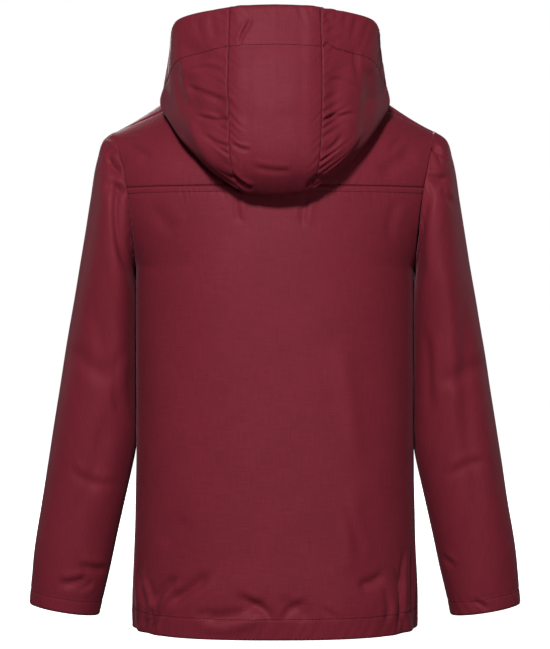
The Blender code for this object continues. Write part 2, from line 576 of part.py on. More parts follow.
# ---- The zip lies behind the front edges, and follows them from the hem to the neck ----
edge, beside = panels[2].grid[:, 0], panels[2].grid[:, 1]
edge_normal = normals[2][:, 0] * (0, 1, 1)
edge_normal /= np.linalg.norm(edge_normal, axis=1)[:, None]
edge_length = np.concatenate([[0.0], np.cumsum(np.linalg.norm(np.diff(edge, axis=0), axis=1))])
zip_length = edge_length[-1]


def on_edge(values, distance):
    return np.array([np.interp(distance, edge_length, values[:, i]) for i in range(3)])


def zip_point(distance, x, depth):
    """A point of the zip: how far up from the hem, how far from the middle and how deep below the cloth's outside."""
    start, end = on_edge(edge, distance), on_edge(beside, distance)
    share = max(abs(x) - start[0], 0.0) / (end[0] - start[0])
    place = start + (end - start) * share - on_edge(edge_normal, distance) * depth
    return np.array((x, place[1], place[2]))


def strip(low, high, left, right, front, back):
    """A flat strip along the zip, closed at both ends."""
    stations = [low, *edge_length[(edge_length > low + 1.0) & (edge_length < high - 1.0)], high]
    corners = ((left, front), (right, front), (right, back), (left, back))
    return loft([[zip_point(at, x, depth) for x, depth in corners] for at in stations])


def loft(rings):
    """A closed solid through rings of equally many corners."""
    mesh = bmesh.new()
    rows = [[mesh.verts.new(np.asarray(place) * MM) for place in ring] for ring in rings]
    for low, high in zip(rows, rows[1:]):
        for j in range(len(low)):
            k = (j + 1) % len(low)
            mesh.faces.new((low[j], low[k], high[k], high[j]))
    mesh.faces.new(rows[0])
    mesh.faces.new(rows[-1][::-1])
    bmesh.ops.recalc_face_normals(mesh, faces=mesh.faces)
    return mesh


tape_finish = material("zip_tape", TAPE_COLOUR, 0.8)
chain_finish = material("zip_chain", CHAIN_COLOUR, 0.45)
metal_finish = material("zip_metal", METAL_COLOUR, 0.35, 0.9)
for side, name in ((1, "zip_tape_left"), (-1, "zip_tape_right")):
    tape = strip(END_GAP, zip_length - END_GAP, side * TAPE_INNER, side * TAPE_OUTER, TAPE_FRONT, TAPE_BACK)
    place_object(name, tape, tape_finish, smooth=False)
slider_at = zip_length - SLIDER_DROP
chain_top = slider_at + POST_LOW - POST_GAP
chain = strip(END_GAP + RETAINER_HEIGHT + PART_GAP, chain_top, -CHAIN_HALF, CHAIN_HALF, CHAIN_FRONT, CHAIN_BACK)
place_object("zip_chain", chain, chain_finish, smooth=False)
box_back = TAPE_FRONT - POST_GAP
retainer = strip(END_GAP, END_GAP + RETAINER_HEIGHT, -RETAINER_HALF, RETAINER_HALF, RETAINER_FRONT, box_back)
place_object("zip_retainer", retainer, chain_finish, smooth=False)

# ---- The slider, its loop and the pull tab, in the slider's own directions: across, up the zip and outwards ----
slider_middle = zip_point(slider_at, 0.0, 0.0)
slider_up = zip_point(slider_at + 3.0, 0.0, 0.0) - zip_point(slider_at - 3.0, 0.0, 0.0)
slider_up /= np.linalg.norm(slider_up)
slider_out = np.cross(slider_up, (1.0, 0.0, 0.0))
slider_out *= -np.sign(slider_out[1])


def by_slider(x, up, out):
    return slider_middle + np.array((x, 0.0, 0.0)) + slider_up * up + slider_out * out


def rectangle(half_width, low, high, out):
    corners = ((-half_width, low), (half_width, low), (half_width, high), (-half_width, high))
    return [by_slider(x, up, out) for x, up in corners]


plate_back = -(CHAIN_BACK + PART_GAP)
plate_front = -(CHAIN_FRONT - PART_GAP)
plate = (SLIDER_HALF_WIDTH, -SLIDER_HALF_HEIGHT, SLIDER_HALF_HEIGHT)
post = (CHAIN_HALF - POST_GAP, POST_LOW, POST_HIGH)
slider = loft([
    rectangle(*plate, plate_back - PLATE),
    rectangle(*plate, plate_back),
    rectangle(*post, plate_back),
    rectangle(*post, plate_front),
    rectangle(*plate, plate_front),
    rectangle(*plate, plate_front + PLATE),
])
place_object("zip_slider", slider, metal_finish, smooth=False)

bail_foot = plate_front + PLATE + PART_GAP
bail_top = bail_foot + BAIL_RISE
inner_half, inner_top = BAIL_HALF_HEIGHT - BAIL_WIRE, bail_top - BAIL_WIRE
bail_outline = (
    (-BAIL_HALF_HEIGHT, bail_foot), (-BAIL_HALF_HEIGHT, bail_top),
    (BAIL_HALF_HEIGHT, bail_top), (BAIL_HALF_HEIGHT, bail_foot),
    (inner_half, bail_foot), (inner_half, inner_top),
    (-inner_half, inner_top), (-inner_half, bail_foot),
)
bail = loft([[by_slider(x, up, out) for up, out in bail_outline] for x in (-BAIL_HALF_WIDTH, BAIL_HALF_WIDTH)])
place_object("zip_bail", bail, metal_finish, smooth=False)

pivot_out = plate_front + PLATE + PIVOT_RISE


def trimmed(half_width, low, high, cut):
    """A rectangle with its corners cut off, round the pull tab."""
    return [
        (-half_width + cut, low), (half_width - cut, low), (half_width, low + cut), (half_width, high - cut),
        (half_width - cut, high), (-half_width + cut, high), (-half_width, high - cut), (-half_width, low + cut),
    ]


pull = bmesh.new()
outline = trimmed(PULL_HALF_WIDTH, -PULL_LENGTH, PULL_TOP, 0.9)
window = trimmed(WINDOW_HALF_WIDTH, -WINDOW_LENGTH - PULL_THICKNESS / 2, -PULL_THICKNESS / 2, 0.4)
pull_rings = [
    [pull.verts.new((by_slider(x, up, pivot_out + out) - by_slider(0.0, 0.0, pivot_out)) * MM) for x, up in ring]
    for ring, out in (
        (outline, -PULL_THICKNESS / 2), (outline, PULL_THICKNESS / 2),
        (window, PULL_THICKNESS / 2), (window, -PULL_THICKNESS / 2),
    )
]
for this, after in zip(pull_rings, pull_rings[1:] + pull_rings[:1]):
    for j in range(len(this)):
        k = (j + 1) % len(this)
        pull.faces.new((this[j], this[k], after[k], after[j]))
bmesh.ops.recalc_face_normals(pull, faces=pull.faces)
pull_tab = place_object("zip_pull", pull, metal_finish, smooth=False)
pull_tab.location = by_slider(0.0, 0.0, pivot_out) * MM
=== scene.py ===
"""A child's hooded windbreaker in burgundy coated cloth, seen from behind with its hood hanging down.

The CAD frame gives the bodies and the zip's hard parts. Each cloth panel is made again here on the same form,
finer, with its creases, puckers and stitching. Tables are in millimetres and meshes in metres. The front faces
-Y, the back +Y and the wearer's left is +X.
"""

import math

import bmesh
import bpy
import numpy as np
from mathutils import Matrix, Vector


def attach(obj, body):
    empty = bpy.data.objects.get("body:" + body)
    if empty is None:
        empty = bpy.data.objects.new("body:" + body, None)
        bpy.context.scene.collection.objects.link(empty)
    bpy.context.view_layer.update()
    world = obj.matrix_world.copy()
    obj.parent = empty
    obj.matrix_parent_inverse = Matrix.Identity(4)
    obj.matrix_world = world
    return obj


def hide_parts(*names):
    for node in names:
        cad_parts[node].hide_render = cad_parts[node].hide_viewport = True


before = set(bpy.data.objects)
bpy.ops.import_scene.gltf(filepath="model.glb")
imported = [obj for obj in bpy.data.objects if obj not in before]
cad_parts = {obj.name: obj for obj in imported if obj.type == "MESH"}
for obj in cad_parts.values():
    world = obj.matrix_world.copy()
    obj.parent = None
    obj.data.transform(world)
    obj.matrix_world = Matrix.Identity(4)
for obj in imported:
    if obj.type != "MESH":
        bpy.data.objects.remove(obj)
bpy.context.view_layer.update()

MM = 0.001

# ------------------------------------------------
# Camera, light and floor. The photo looks level at the middle of the back from about 2.2 m, on pure white.
# The light is a broad soft one from above the camera, with white all round that catches the cloth's edges.
# ------------------------------------------------
CAMERA_DISTANCE = 2.2
CAMERA_HEIGHT = -0.258
FRAME_HEIGHT = 0.7139  # what the picture's height covers in the jacket's middle plane
SENSOR = 24.0
WHITE = (1.0, 1.0, 1.0, 1.0)
SURROUNDING_LIGHT = 0.055
LIGHTS = (
    # name, place, width, power: each looks at the middle of the jacket
    ("key", (0.45, 3.3, 1.55), 0.5, 131.0),
    ("fill", (-0.9, 3.2, -0.5), 0.9, 22.0),
    ("front", (0.3, -2.4, 0.9), 1.4, 40.0),
    ("edge_left", (1.7, -0.9, 0.1), 1.0, 2.5),
    ("edge_right", (-1.7, -0.9, 0.1), 1.0, 2.5),
)
FLOOR_Z = -0.64
FLOOR_RADIUS = 7.0
FLOOR_SURFACE = {
    "Base Color": (0.93, 0.93, 0.93, 1.0), "Roughness": 0.9, "Specular IOR Level": 0.1,
    "Emission Color": WHITE, "Emission Strength": 1.0,
}


def in_scene(name, data):
    """A new object for a camera, a light or a mesh."""
    made = bpy.data.objects.new(name, data)
    bpy.context.scene.collection.objects.link(made)
    return made


def feed(tree, shader, inputs):
    """Give a shader node's inputs their values, or link them to other nodes' outputs."""
    for key, value in inputs.items():
        if isinstance(value, bpy.types.NodeSocket):
            tree.links.new(value, shader.inputs[key])
        else:
            shader.inputs[key].default_value = value


def node(tree, kind, inputs, **settings):
    made = tree.nodes.new(kind)
    for key, value in settings.items():
        setattr(made, key, value)
    feed(tree, made, inputs)
    return made


def material(name, surface):
    """A new material, with the values of its surface."""
    made = bpy.data.materials.new(name)
    made.use_nodes = True
    feed(made.node_tree, made.node_tree.nodes["Principled BSDF"], surface)
    return made


camera_data = bpy.data.cameras.new("camera")
camera_data.sensor_fit = "VERTICAL"
camera_data.sensor_height = SENSOR
camera_data.lens = SENSOR * CAMERA_DISTANCE / FRAME_HEIGHT
camera_data.clip_end = 50.0
camera = in_scene("camera", camera_data)
camera.location = (0.0, CAMERA_DISTANCE, CAMERA_HEIGHT)
camera.rotation_euler = (math.radians(90.0), 0.0, math.radians(180.0))
bpy.context.scene.camera = camera

world = bpy.data.worlds.new("white_surroundings")
world.use_nodes = True
tree = world.node_tree
lit = tree.nodes["Background"]
feed(tree, lit, {"Color": WHITE, "Strength": SURROUNDING_LIGHT})
backdrop = node(tree, "ShaderNodeBackground", {"Color": WHITE, "Strength": 1.0})
rays = node(tree, "ShaderNodeLightPath", {})
chosen = node(tree, "ShaderNodeMixShader", {
    "Fac": rays.outputs["Is Camera Ray"], 1: lit.outputs["Background"], 2: backdrop.outputs["Background"],
})
feed(tree, tree.nodes["World Output"], {"Surface": chosen.outputs["Shader"]})
bpy.context.scene.world = world
bpy.context.scene.view_settings.view_transform = "Standard"

for name, place, width, power in LIGHTS:
    light_data = bpy.data.lights.new(name, "AREA")
    light_data.size = width
    light_data.energy = power
    light = in_scene(name, light_data)
    light.location = place
    toward = Vector((0.0, 0.0, CAMERA_HEIGHT)) - Vector(place)
    light.rotation_euler = toward.to_track_quat("-Z", "Y").to_euler()

floor_mesh = bmesh.new()
bmesh.ops.create_circle(floor_mesh, cap_ends=True, segments=96, radius=FLOOR_RADIUS)
bmesh.ops.translate(floor_mesh, verts=floor_mesh.verts, vec=(0.0, 0.0, FLOOR_Z))
floor_data = bpy.data.meshes.new("floor")
floor_mesh.to_mesh(floor_data)
floor_mesh.free()
floor_data.materials.append(material("pale_floor", FLOOR_SURFACE))
floor = in_scene("floor", floor_data)
floor.visible_diffuse = False
floor.visible_glossy = False

# ------------------------------------------------
# The jacket's form: the body is drawn by level sections, the yoke and shoulders by curves between a section
# and the neck and shoulder seams, the sleeves by rings and the hood by profiles. These are the sizes and
# functions that the CAD panels are made with.
# ------------------------------------------------
BODY_SECTIONS = (
    # z, half width, depth behind, depth in front, squareness
    (-587.5, 156, 117, 112, 2.5),
    (-562, 156.5, 120, 115, 2.5),
    (-500, 154, 119, 114, 2.5),
    (-400, 152, 116, 112, 2.5),
    (-300, 152, 112, 110, 2.45),
    (-197, 152, 107, 107, 2.4),
    (-112, 152, 100, 98, 2.3),
)
HEM_Z = -587.5
CASING_Z = -565.5
YOKE_Z = -112.0
TIP_X, TIP_Y, TIP_Z = 175.0, 5.0, -46.5
PIT_X, PIT_Y, PIT_Z = 152.0, 0.0, -197.0
ARMHOLE_DEPTH = 58.0
YOKE_ANGLE = math.acos(2.0 * (YOKE_Z - PIT_Z) / (TIP_Z - PIT_Z) - 1.0)
NECK_HALF_WIDTH = 74.0
NECK_HALF_DEPTH = 72.0
NECK_Y = -10.0
NECK_SQUARENESS = 2.5
NECK_HEIGHTS = ((0, 8), (59.2, 1), (75, 1), (90, -6), (120, -27), (150, -47), (180, -58))  # angle, z
SHOULDER_ANGLE = 59.2
SEAM_FALL = 58.0
SEAM_SLOPE = math.radians(42.0)
NECK_SEAM_SLOPE = math.radians(15.0)
NAPE_SLOPE = math.radians(50.0)
CHEST_SLOPE = math.radians(65.0)
NECK_TURN = math.radians(48.0)
ZIP_EDGE = 6.5
BACK_NECK_COLUMNS = 10
FRONT_NECK_COLUMNS = 7
SHOULDER_COLUMNS = 10
BACK_NECK_SHARE = 0.55
FRONT_NECK_SHARE = 0.66
# how the cloth leaves the yoke's level and meets the upper edge, as shares of the way between them: outwards,
# upwards, more upwards along the edge, its pull at the edge, more pull along the edge, more at the middle
# of the shoulder seam
YOKE_WAYS = (-0.05, 1.0, 0.25, 1.1, 0.1, 0.1)
FRONT_WAYS = (0.15, 0.9, 0.5, 0.9, 0.25, 0.45)
NECK_BLEND = 0.35  # of the shoulder seam, where its slope grows from the neck's
TIP_POWER = 0.45  # how late the slope levels out towards the shoulder's tip
CHEST_POWER = 1.4
TURN_SHARE, TURN_POWER, TURN_IN = 0.8, 1.3, 0.62  # of the front's turn round the side of the neck
ARM_BLEND = 0.7  # of the width, past which an upper panel bends to meet the armhole
PANEL_SEAM_COLUMNS = 4
BODY_ROWS = 15
PIT_ROWS = 5
UPPER_ROWS = 6

SLEEVE_RINGS = (
    # the outer end's x, y and z, the inner end's x, y and z, half depth, scoop
    (TIP_X, TIP_Y, TIP_Z, PIT_X, PIT_Y, PIT_Z, ARMHOLE_DEPTH, 2),
    (187.5, 4, -55.5, 154, 0, -203, 61.5, 1.7),
    (194.5, 3, -76, 153, 0, -213, 64.5, 1.3),
    (202.4, 2, -121, 151, 0, -238, 64, 1.1),
    (208.5, 0, -160, 150.5, 0, -262, 62, 1),
    (217, 0, -210, 150.5, 0, -296, 58, 1),
    (229, 0, -280, 150.5, 0, -343, 53, 1),
    (240, 0, -350, 152, 0, -388, 49, 1),
    (248.3, 0, -403, 158, 0, -420, 46, 1),
    (256.5, -1, -455, 169.5, -1, -470, 43, 1),
    (265.3, -3, -508, 181, -3, -523, 40, 1),
    (269.2, -5, -549, 190, -5, -562, 37, 1),
    (270.8, -6, -564.5, 193.3, -6, -577.5, 36, 1),
)
SLEEVE_ROWS = 22
SLEEVE_CLEAR = 0.9  # between the sleeve and the body's flank that it lies against
PIT_REACH = 8.0  # below the pit of the arm, where the sleeve begins to lie so
CUFF_SHARE = 0.97

HOOD_STATIONS = (
    # column, folded, the fold's x, y and z, the rim's x, y and z, roll, belly, stand outwards, stand upwards
    (0, 0, 10, -86, -54, 8, -85, -44, 0.6, 0.8, 0.4, 1.5),
    (2, 0, 52, -84, -40, 50, -84, -20, 4, 3, 3, 5),
    (4, 0.35, 90, -54, -10, 88, -46, 10, 5, 4, 4, 12),
    (6, 0.85, 110, -4, 2, 107, 4, 28, 5, 3, 6, 12),
    (7, 1, 116, 32, -17, 111, 32, 36, 5, 3, 7, 11),
    (9, 1, 106, 68, -48, 112, 64, 46, 8, 5, 8, 10),
    (11, 1, 76, 107, -89, 102, 99, 63, 15, 9, 9, 10),
    (13, 1, 37, 121, -118.5, 47.5, 127, 71.5, 21, 16, 9, 10),
    (15, 1, 18, 123, -123, 24, 130, 73, 23, 19, 9, 10),
    (17, 1, 0, 124, -124.5, 0, 131, 73.5, 23, 19, 9, 10),
)
UNFOLDED = (0, 0.1, 0.25, 0.4, 0.52, 0.75, 1)
HOOD_KNOTS = (2, 2, 3, 3, 3, 3)  # rows between two guides
HOOD_MIDDLE_Y = 10  # what the fold faces away from
FALL_SHARE, FALL_OUT, FALL_UP = 0.5, 4.0, 0.15  # the guide between the stand and the fold
TURN_UP = 0.8  # how far the turned cloth's outer side lies above the fold, of the roll
BULGE_SHARE, BULGE_ROLL = 0.42, 0.3  # the guide between the fold and the rim


def curve(start, start_slope, end, end_slope, t):
    """A smooth curve between two points, by its slopes there."""
    return (
        start * (1 + 2 * t) * (1 - t) ** 2
        + start_slope * t * (1 - t) ** 2
        + end * t**2 * (3 - 2 * t)
        - end_slope * t**2 * (1 - t)
    )


def through(table, at, key=0):
    """Every column of a table, read at some values of its key column from a smooth curve through the rows."""
    rows = np.array(table, float)
    keys = rows[:, key]
    slopes = np.gradient(rows, keys, axis=0)
    at = np.clip(np.asarray(at, float), keys[0], keys[-1])
    row = np.clip(np.searchsorted(keys, at, side="right") - 1, 0, len(keys) - 2)
    step = (keys[row + 1] - keys[row])[..., None]
    t = (at - keys[row])[..., None] / step
    return curve(rows[row], slopes[row] * step, rows[row + 1], slopes[row + 1] * step, t)


def across_columns(table, at, key=0):
    """The same, as one array for each column."""
    return np.moveaxis(through(table, at, key), -1, 0)


def smooth_step(value):
    value = np.clip(value, 0.0, 1.0)
    return value * value * (3.0 - 2.0 * value)


def points(x, y, z):
    return np.stack(np.broadcast_arrays(x, y, z), axis=-1).astype(float)

def unit(vectors):
    return vectors / np.linalg.norm(vectors, axis=-1, keepdims=True)


def run_along(line):
    """How far along a line of points each one lies."""
    return np.concatenate([[0.0], np.cumsum(np.linalg.norm(np.diff(line, axis=0), axis=1))])


def armhole(angle):
    """The armhole seam. The angle runs from the shoulder's tip, and is positive behind."""
    height = (1.0 + np.cos(angle)) / 2.0
    x = PIT_X + (TIP_X - PIT_X) * height**2
    y = PIT_Y + (TIP_Y - PIT_Y) * height + ARMHOLE_DEPTH * np.sin(angle)
    return points(x, y, PIT_Z + (TIP_Z - PIT_Z) * height)


def body_section(z, share, face):
    """The torso at a level, from the middle (share 0) to the side seam or the armhole (share 1)."""
    z, share = np.broadcast_arrays(np.asarray(z, float), share)
    _, half_width, back, front, power = across_columns(BODY_SECTIONS, z)
    depth = back if face > 0 else front
    level = np.clip((z - PIT_Z) / (TIP_Z - PIT_Z), 0.0, 1.0)
    edge = armhole(face * np.arccos(2.0 * level - 1.0))
    above_pit = z > PIT_Z
    edge_x = np.where(above_pit, edge[..., 0], half_width)
    edge_y = np.where(above_pit, np.abs(edge[..., 1]), 0.0)
    full_width = edge_x / (1.0 - (edge_y / depth) ** power) ** (1.0 / power)
    first = 0.0 if face > 0 else np.arctan2(ZIP_EDGE, depth)
    turn = first + (np.arctan2(edge_x, edge_y) - first) * share
    reach = ((np.sin(turn) / full_width) ** power + (np.cos(turn) / depth) ** power) ** (-1.0 / power)
    return points(reach * np.sin(turn), face * reach * np.cos(turn), z)


def neckline(angle):
    """The neck seam, by its angle in degrees from the nape."""
    turn = np.radians(angle)
    across = np.abs(np.sin(turn)) / NECK_HALF_WIDTH
    along = np.abs(np.cos(turn)) / NECK_HALF_DEPTH
    reach = (across**NECK_SQUARENESS + along**NECK_SQUARENESS) ** (-1.0 / NECK_SQUARENESS)
    return points(reach * np.sin(turn), NECK_Y + reach * np.cos(turn), across_columns(NECK_HEIGHTS, angle)[1])


def shoulder_seam(share):
    """The seam from the neckline (0), a little behind the shoulder's ridge, to the tip (1)."""
    neck = neckline(np.array(SHOULDER_ANGLE))
    x = neck[0] + (TIP_X - neck[0]) * share
    y = neck[1] + 6.0 * share - (neck[1] + 6.0 - TIP_Y) * share**2
    z = neck[2] - SEAM_FALL * share + (TIP_Z - neck[2] + SEAM_FALL) * share**2
    return points(x, y, z)


def top_edge(share, face):
    """The upper edge of the yoke or of a front: the neckline first, and then the shoulder seam."""
    first = 0.0 if face > 0 else 180.0 - math.degrees(math.atan2(ZIP_EDGE, NECK_HALF_DEPTH))
    neck_share = BACK_NECK_SHARE if face > 0 else FRONT_NECK_SHARE
    on_neck = neckline(first + (SHOULDER_ANGLE - first) * np.clip(share / neck_share, 0.0, 1.0))
    on_shoulder = shoulder_seam(np.clip((share - neck_share) / (1.0 - neck_share), 0.0, 1.0))
    return np.where((share <= neck_share)[..., None], on_neck, on_shoulder)


def upper_panel(share, rise, face):
    """The yoke, or a front above the chest: from the yoke's level (rise 0) to the upper edge (rise 1)."""
    low, high = body_section(YOKE_Z, share, face), top_edge(share, face)
    chord = np.linalg.norm(high - low, axis=-1)
    spread = high[..., 0] - low[..., 0]
    neck_share = BACK_NECK_SHARE if face > 0 else FRONT_NECK_SHARE
    on_neck = np.clip(share / neck_share, 0.0, 1.0)
    on_shoulder = np.clip((share - neck_share) / (1.0 - neck_share), 0.0, 1.0)
    from_neck = smooth_step(on_shoulder / NECK_BLEND)
    to_tip = (NECK_SEAM_SLOPE + (SEAM_SLOPE - NECK_SEAM_SLOPE) * from_neck) * (1.0 - on_shoulder) ** TIP_POWER
    arch = 4.0 * on_shoulder * (1.0 - on_shoulder)
    along = on_shoulder if face > 0 else on_neck
    out, up, more_up, far, more_far, arch_far = YOKE_WAYS if face > 0 else FRONT_WAYS
    start = points(spread, out * chord, (up + more_up * along) * chord)
    pull = (far + more_far * along + arch_far * arch) * chord
    if face > 0:
        slope = np.where(on_shoulder > 0.0, to_tip, NAPE_SLOPE + (NECK_SEAM_SLOPE - NAPE_SLOPE) * on_neck)
        end = points(spread, -np.cos(slope) * pull, np.sin(slope) * pull)
    else:
        fall = CHEST_SLOPE - (CHEST_SLOPE + NECK_SEAM_SLOPE) * on_neck**CHEST_POWER
        slope = np.where(on_shoulder > 0.0, -to_tip, fall)
        round_neck = np.sin(TURN_SHARE * math.pi * on_neck**TURN_POWER) * (1.0 - on_shoulder) ** 2 * NECK_TURN
        level = np.cos(slope) * np.cos(round_neck) * pull
        end = points(spread - TURN_IN * chord * np.sin(round_neck), level, np.sin(slope) * pull)
    grid = curve(low, start, high, end, rise[..., None])
    if np.all(share == 1.0):
        return grid
    drawn = upper_panel(np.ones_like(share), rise, face)
    arc = armhole(face * YOKE_ANGLE * (1.0 - rise))
    return grid + (arc - drawn) * smooth_step((share - ARM_BLEND) / (1.0 - ARM_BLEND))[..., None]


def panel(columns, rows, face, upper=True):
    """One half of the back, the yoke or a front, as a grid from the hem up and from the middle to the side."""
    share, row = np.meshgrid(columns, rows)
    to_pit = np.clip(row, 0.0, 1.0)
    past_pit = np.clip(row - 1.0, 0.0, 1.0)
    angle = math.pi + (YOKE_ANGLE - math.pi) * past_pit
    at_edge = PIT_Z + (TIP_Z - PIT_Z) * (1.0 + np.cos(angle)) / 2.0
    at_middle = PIT_Z + (YOKE_Z - PIT_Z) * past_pit
    z = np.where(row <= 1.0, HEM_Z + (PIT_Z - HEM_Z) * to_pit, at_middle + (at_edge - at_middle) * share**3)
    grid = body_section(z, share, face)
    if upper:
        above = upper_panel(share, np.clip(row - 2.0, 0.0, 1.0), face)
        grid = np.where((row > 2.0)[..., None], above, grid)
    return grid


def sleeve(angles, places):
    """The left sleeve: rings from the armhole (place 0) to the cuff (place 1), each from its outer end."""
    ends = np.array(SLEEVE_RINGS, float)
    run = run_along(ends[:, :3])
    table = np.column_stack([ends, run / run[-1]])
    angle, place = np.meshgrid(angles, places)
    ring = across_columns(table, place, key=-1)
    out_x, out_y, out_z, in_x, in_y, in_z, half_depth, scoop, _ = ring
    height = (1.0 + np.cos(angle)) / 2.0
    x = in_x + (out_x - in_x) * height**scoop
    y = in_y + (out_y - in_y) * height + half_depth * np.sin(angle)
    z = in_z + (out_z - in_z) * height
    _, half_width, back, front, power = across_columns(BODY_SECTIONS, z)
    depth = np.where(y > 0.0, back, front)
    flank = half_width * (1.0 - np.abs(y / depth) ** power) ** (1.0 / power)
    below_pit = smooth_step((PIT_Z - z) / PIT_REACH)
    lain = np.maximum(x, flank + SLEEVE_CLEAR)
    return points(x + (lain - x) * below_pit, y, z)


def hood(columns, knots):
    """Half of the hood: profiles from the neck seam (knot 0) down, round the fold, up to the rim (knot 6)."""
    column, knot = np.meshgrid(columns, knots)
    value = through(HOOD_STATIONS, column[0])
    fold, rim = value[:, 2:5], value[:, 5:8]
    folded, roll, belly, stand_out, stand_up = value[:, (1, 8, 9, 10, 11)].T[..., None]
    on_front = np.clip(column[0] / FRONT_NECK_COLUMNS, 0.0, 1.0)
    on_back = np.clip((column[0] - FRONT_NECK_COLUMNS) / BACK_NECK_COLUMNS, 0.0, 1.0)
    zip_angle = 180.0 - math.degrees(math.atan2(ZIP_EDGE, NECK_HALF_DEPTH))
    seam = neckline(zip_angle + (SHOULDER_ANGLE - zip_angle) * on_front - SHOULDER_ANGLE * on_back)
    outward = unit(fold * (1, 1, 0) - (0, HOOD_MIDDLE_Y, 0))
    up = np.array((0.0, 0.0, 1.0))
    stand = seam + outward * stand_out + up * stand_up
    falling = stand + (fold - stand) * FALL_SHARE + outward * FALL_OUT + up * FALL_UP * roll
    turned = fold + outward * roll + up * roll * TURN_UP
    bulge = fold + (rim - fold) * BULGE_SHARE + outward * (BULGE_ROLL * roll + belly)
    guides = np.stack([seam, stand, falling, fold, turned, bulge, rim])
    share = np.array(UNFOLDED)[:, None, None]
    standing = seam + (rim - seam) * share + outward * belly * np.sin(math.pi * share)
    guides = standing + (guides - standing) * folded
    steps = np.linalg.norm(np.diff(guides, axis=0), axis=2)
    keys = np.concatenate([np.zeros((1, guides.shape[1])), np.cumsum(steps, axis=0)])
    grid = np.empty(column.shape + (3,))
    whole = np.clip(knot.astype(int), 0, len(guides) - 2)
    for i in range(guides.shape[1]):
        at = keys[whole[:, i], i] + (knot[:, i] - whole[:, i]) * steps[whole[:, i], i]
        grid[:, i] = through(np.column_stack([keys[:, i], guides[:, i]]), at)[:, 1:]
    grid[:, :, 0] *= np.where(column == HOOD_STATIONS[-1][0], 0.0, 1.0)
    return grid


def mirrored(grid):
    """The wearer's right half, with its columns in the order that keeps the outside out."""
    return (grid * (-1, 1, 1))[:, ::-1]


def both_halves(grid):
    return np.concatenate([mirrored(grid)[:, :-1], grid], axis=1)


def finer(values, times):
    """The same values with more between each two."""
    values = np.asarray(values, float)
    return np.interp(np.arange((len(values) - 1) * times + 1) / times, np.arange(len(values)), values)


# ------------------------------------------------
# Creases. Each row is one soft trough (depth below 0) or ridge (above 0) between two points seen from its
# face, with the width across. A trough has a low lip beside it, as slack cloth does. The first table holds
# the largest folds, which the CAD panels have too, and the others what lies on each group of panels.
# ------------------------------------------------
FOLDS = (
    # the face (1 behind, -1 in front), x and z of one end, x and z of the other, width, depth
    (1, -70, -280, -86, -405, 22, 2.6),
    (1, -82, -430, -76, -520, 20, 2),
    (1, 92, -462, 120, -490, 18, -2),
    (1, 2, -561, 42, -541, 15, -3),
    (1, -6, -546, -38, -563, 15, -3),
    (1, -88, -532, -116, -522, 15, -3),
    (1, 71, -521, 110, -550, 15, -3),
    (-1, 40, -559, 84, -540, 15, -3),
    (-1, -52, -541, -92, -560, 15, -3),
    (-1, 78, -300, 66, -430, 22, 2.4),
    (-1, -62, -260, -80, -380, 22, 2.4),
    (1, -150, -72, -112, -99, 16, -3),
    (1, 186, -80, 166, -98, 16, -2.6),
    (1, 182, -106, 164, -118, 14, -2.6),
    (1, -188, -99, -168, -106, 14, -2.4),
    (-1, 184, -86, 160, -112, 16, -3.5),
    (-1, -184, -84, -162, -114, 16, -3.5),
    (1, 222, -285, 178, -318, 20, -2.6),
    (1, -226, -300, -180, -322, 20, -2.6),
    (-1, 230, -330, 176, -352, 20, -4),
    (-1, -228, -322, -176, -350, 20, -4),
    (-1, 236, -366, 182, -380, 18, -3),
    (-1, -238, -370, -184, -378, 18, -3),
)
HOOD_CREASES = (
    (1, 92, -10, 47, -29, 4.5, -1.6),
    (1, 90, 7, 48, 2, 4, -1.3),
    (1, 80, -42, 48, -48, 4, -1.3),
    (1, 72, -62, 47, -76, 4, -1.1),
    (1, 43, -73, 26, -79, 3.5, -1.2),
    (1, 37, 33, 24, 57, 3.5, -1.4),
    (1, -83, 32, -87, -2, 4.5, -1.4),
    (1, -52, 68, -60, 38, 3.5, -1.3),
    (1, -62, 68, -67, 40, 3.5, -1.2),
    (1, -74, 64, -71, 36, 3.5, -1.2),
    (1, -86, 60, -80, 36, 3.5, -1),
    (1, -52, 28, -82, 18, 4, -1.3),
    (1, -51, -4, -86, -14, 4.5, -1.4),
    (1, -51, -46, -82, -40, 4, -1.2),
    (1, -50, -82, -69, -62, 4, -1.3),
    (1, 45, -104, 25, -118, 4.5, -2.2),
    (1, -50, -104, -33, -117, 4.5, -2.2),
    (1, 103, 18, 92, -32, 8, -1.7),
    (1, 65, 67, 60, 38, 4, -1),
    (1, 82, 63, 74, 34, 4, -1),
    (1, 22, -97, -16, -101, 6, -0.9),
    (1, 103, -42, 62, -114, 18, -1.9),
    (1, -104, -36, -63, -112, 18, -1.9),
    (1, 96, 6, 84, -40, 12, -1),
    (1, -70, 12, -66, -60, 14, -1.3),
    (1, -98, -8, -84, -66, 12, -1.2),
    (1, 60, -20, 50, -66, 14, -0.8),
    (1, 92, -42, 55, -104, 9, 0.8),
    (1, -92, -40, -55, -104, 9, 0.8),
    (1, 70, 20, 98, 36, 18, -1.6),
    (1, -96, 10, -104, -30, 16, -1.8),
)
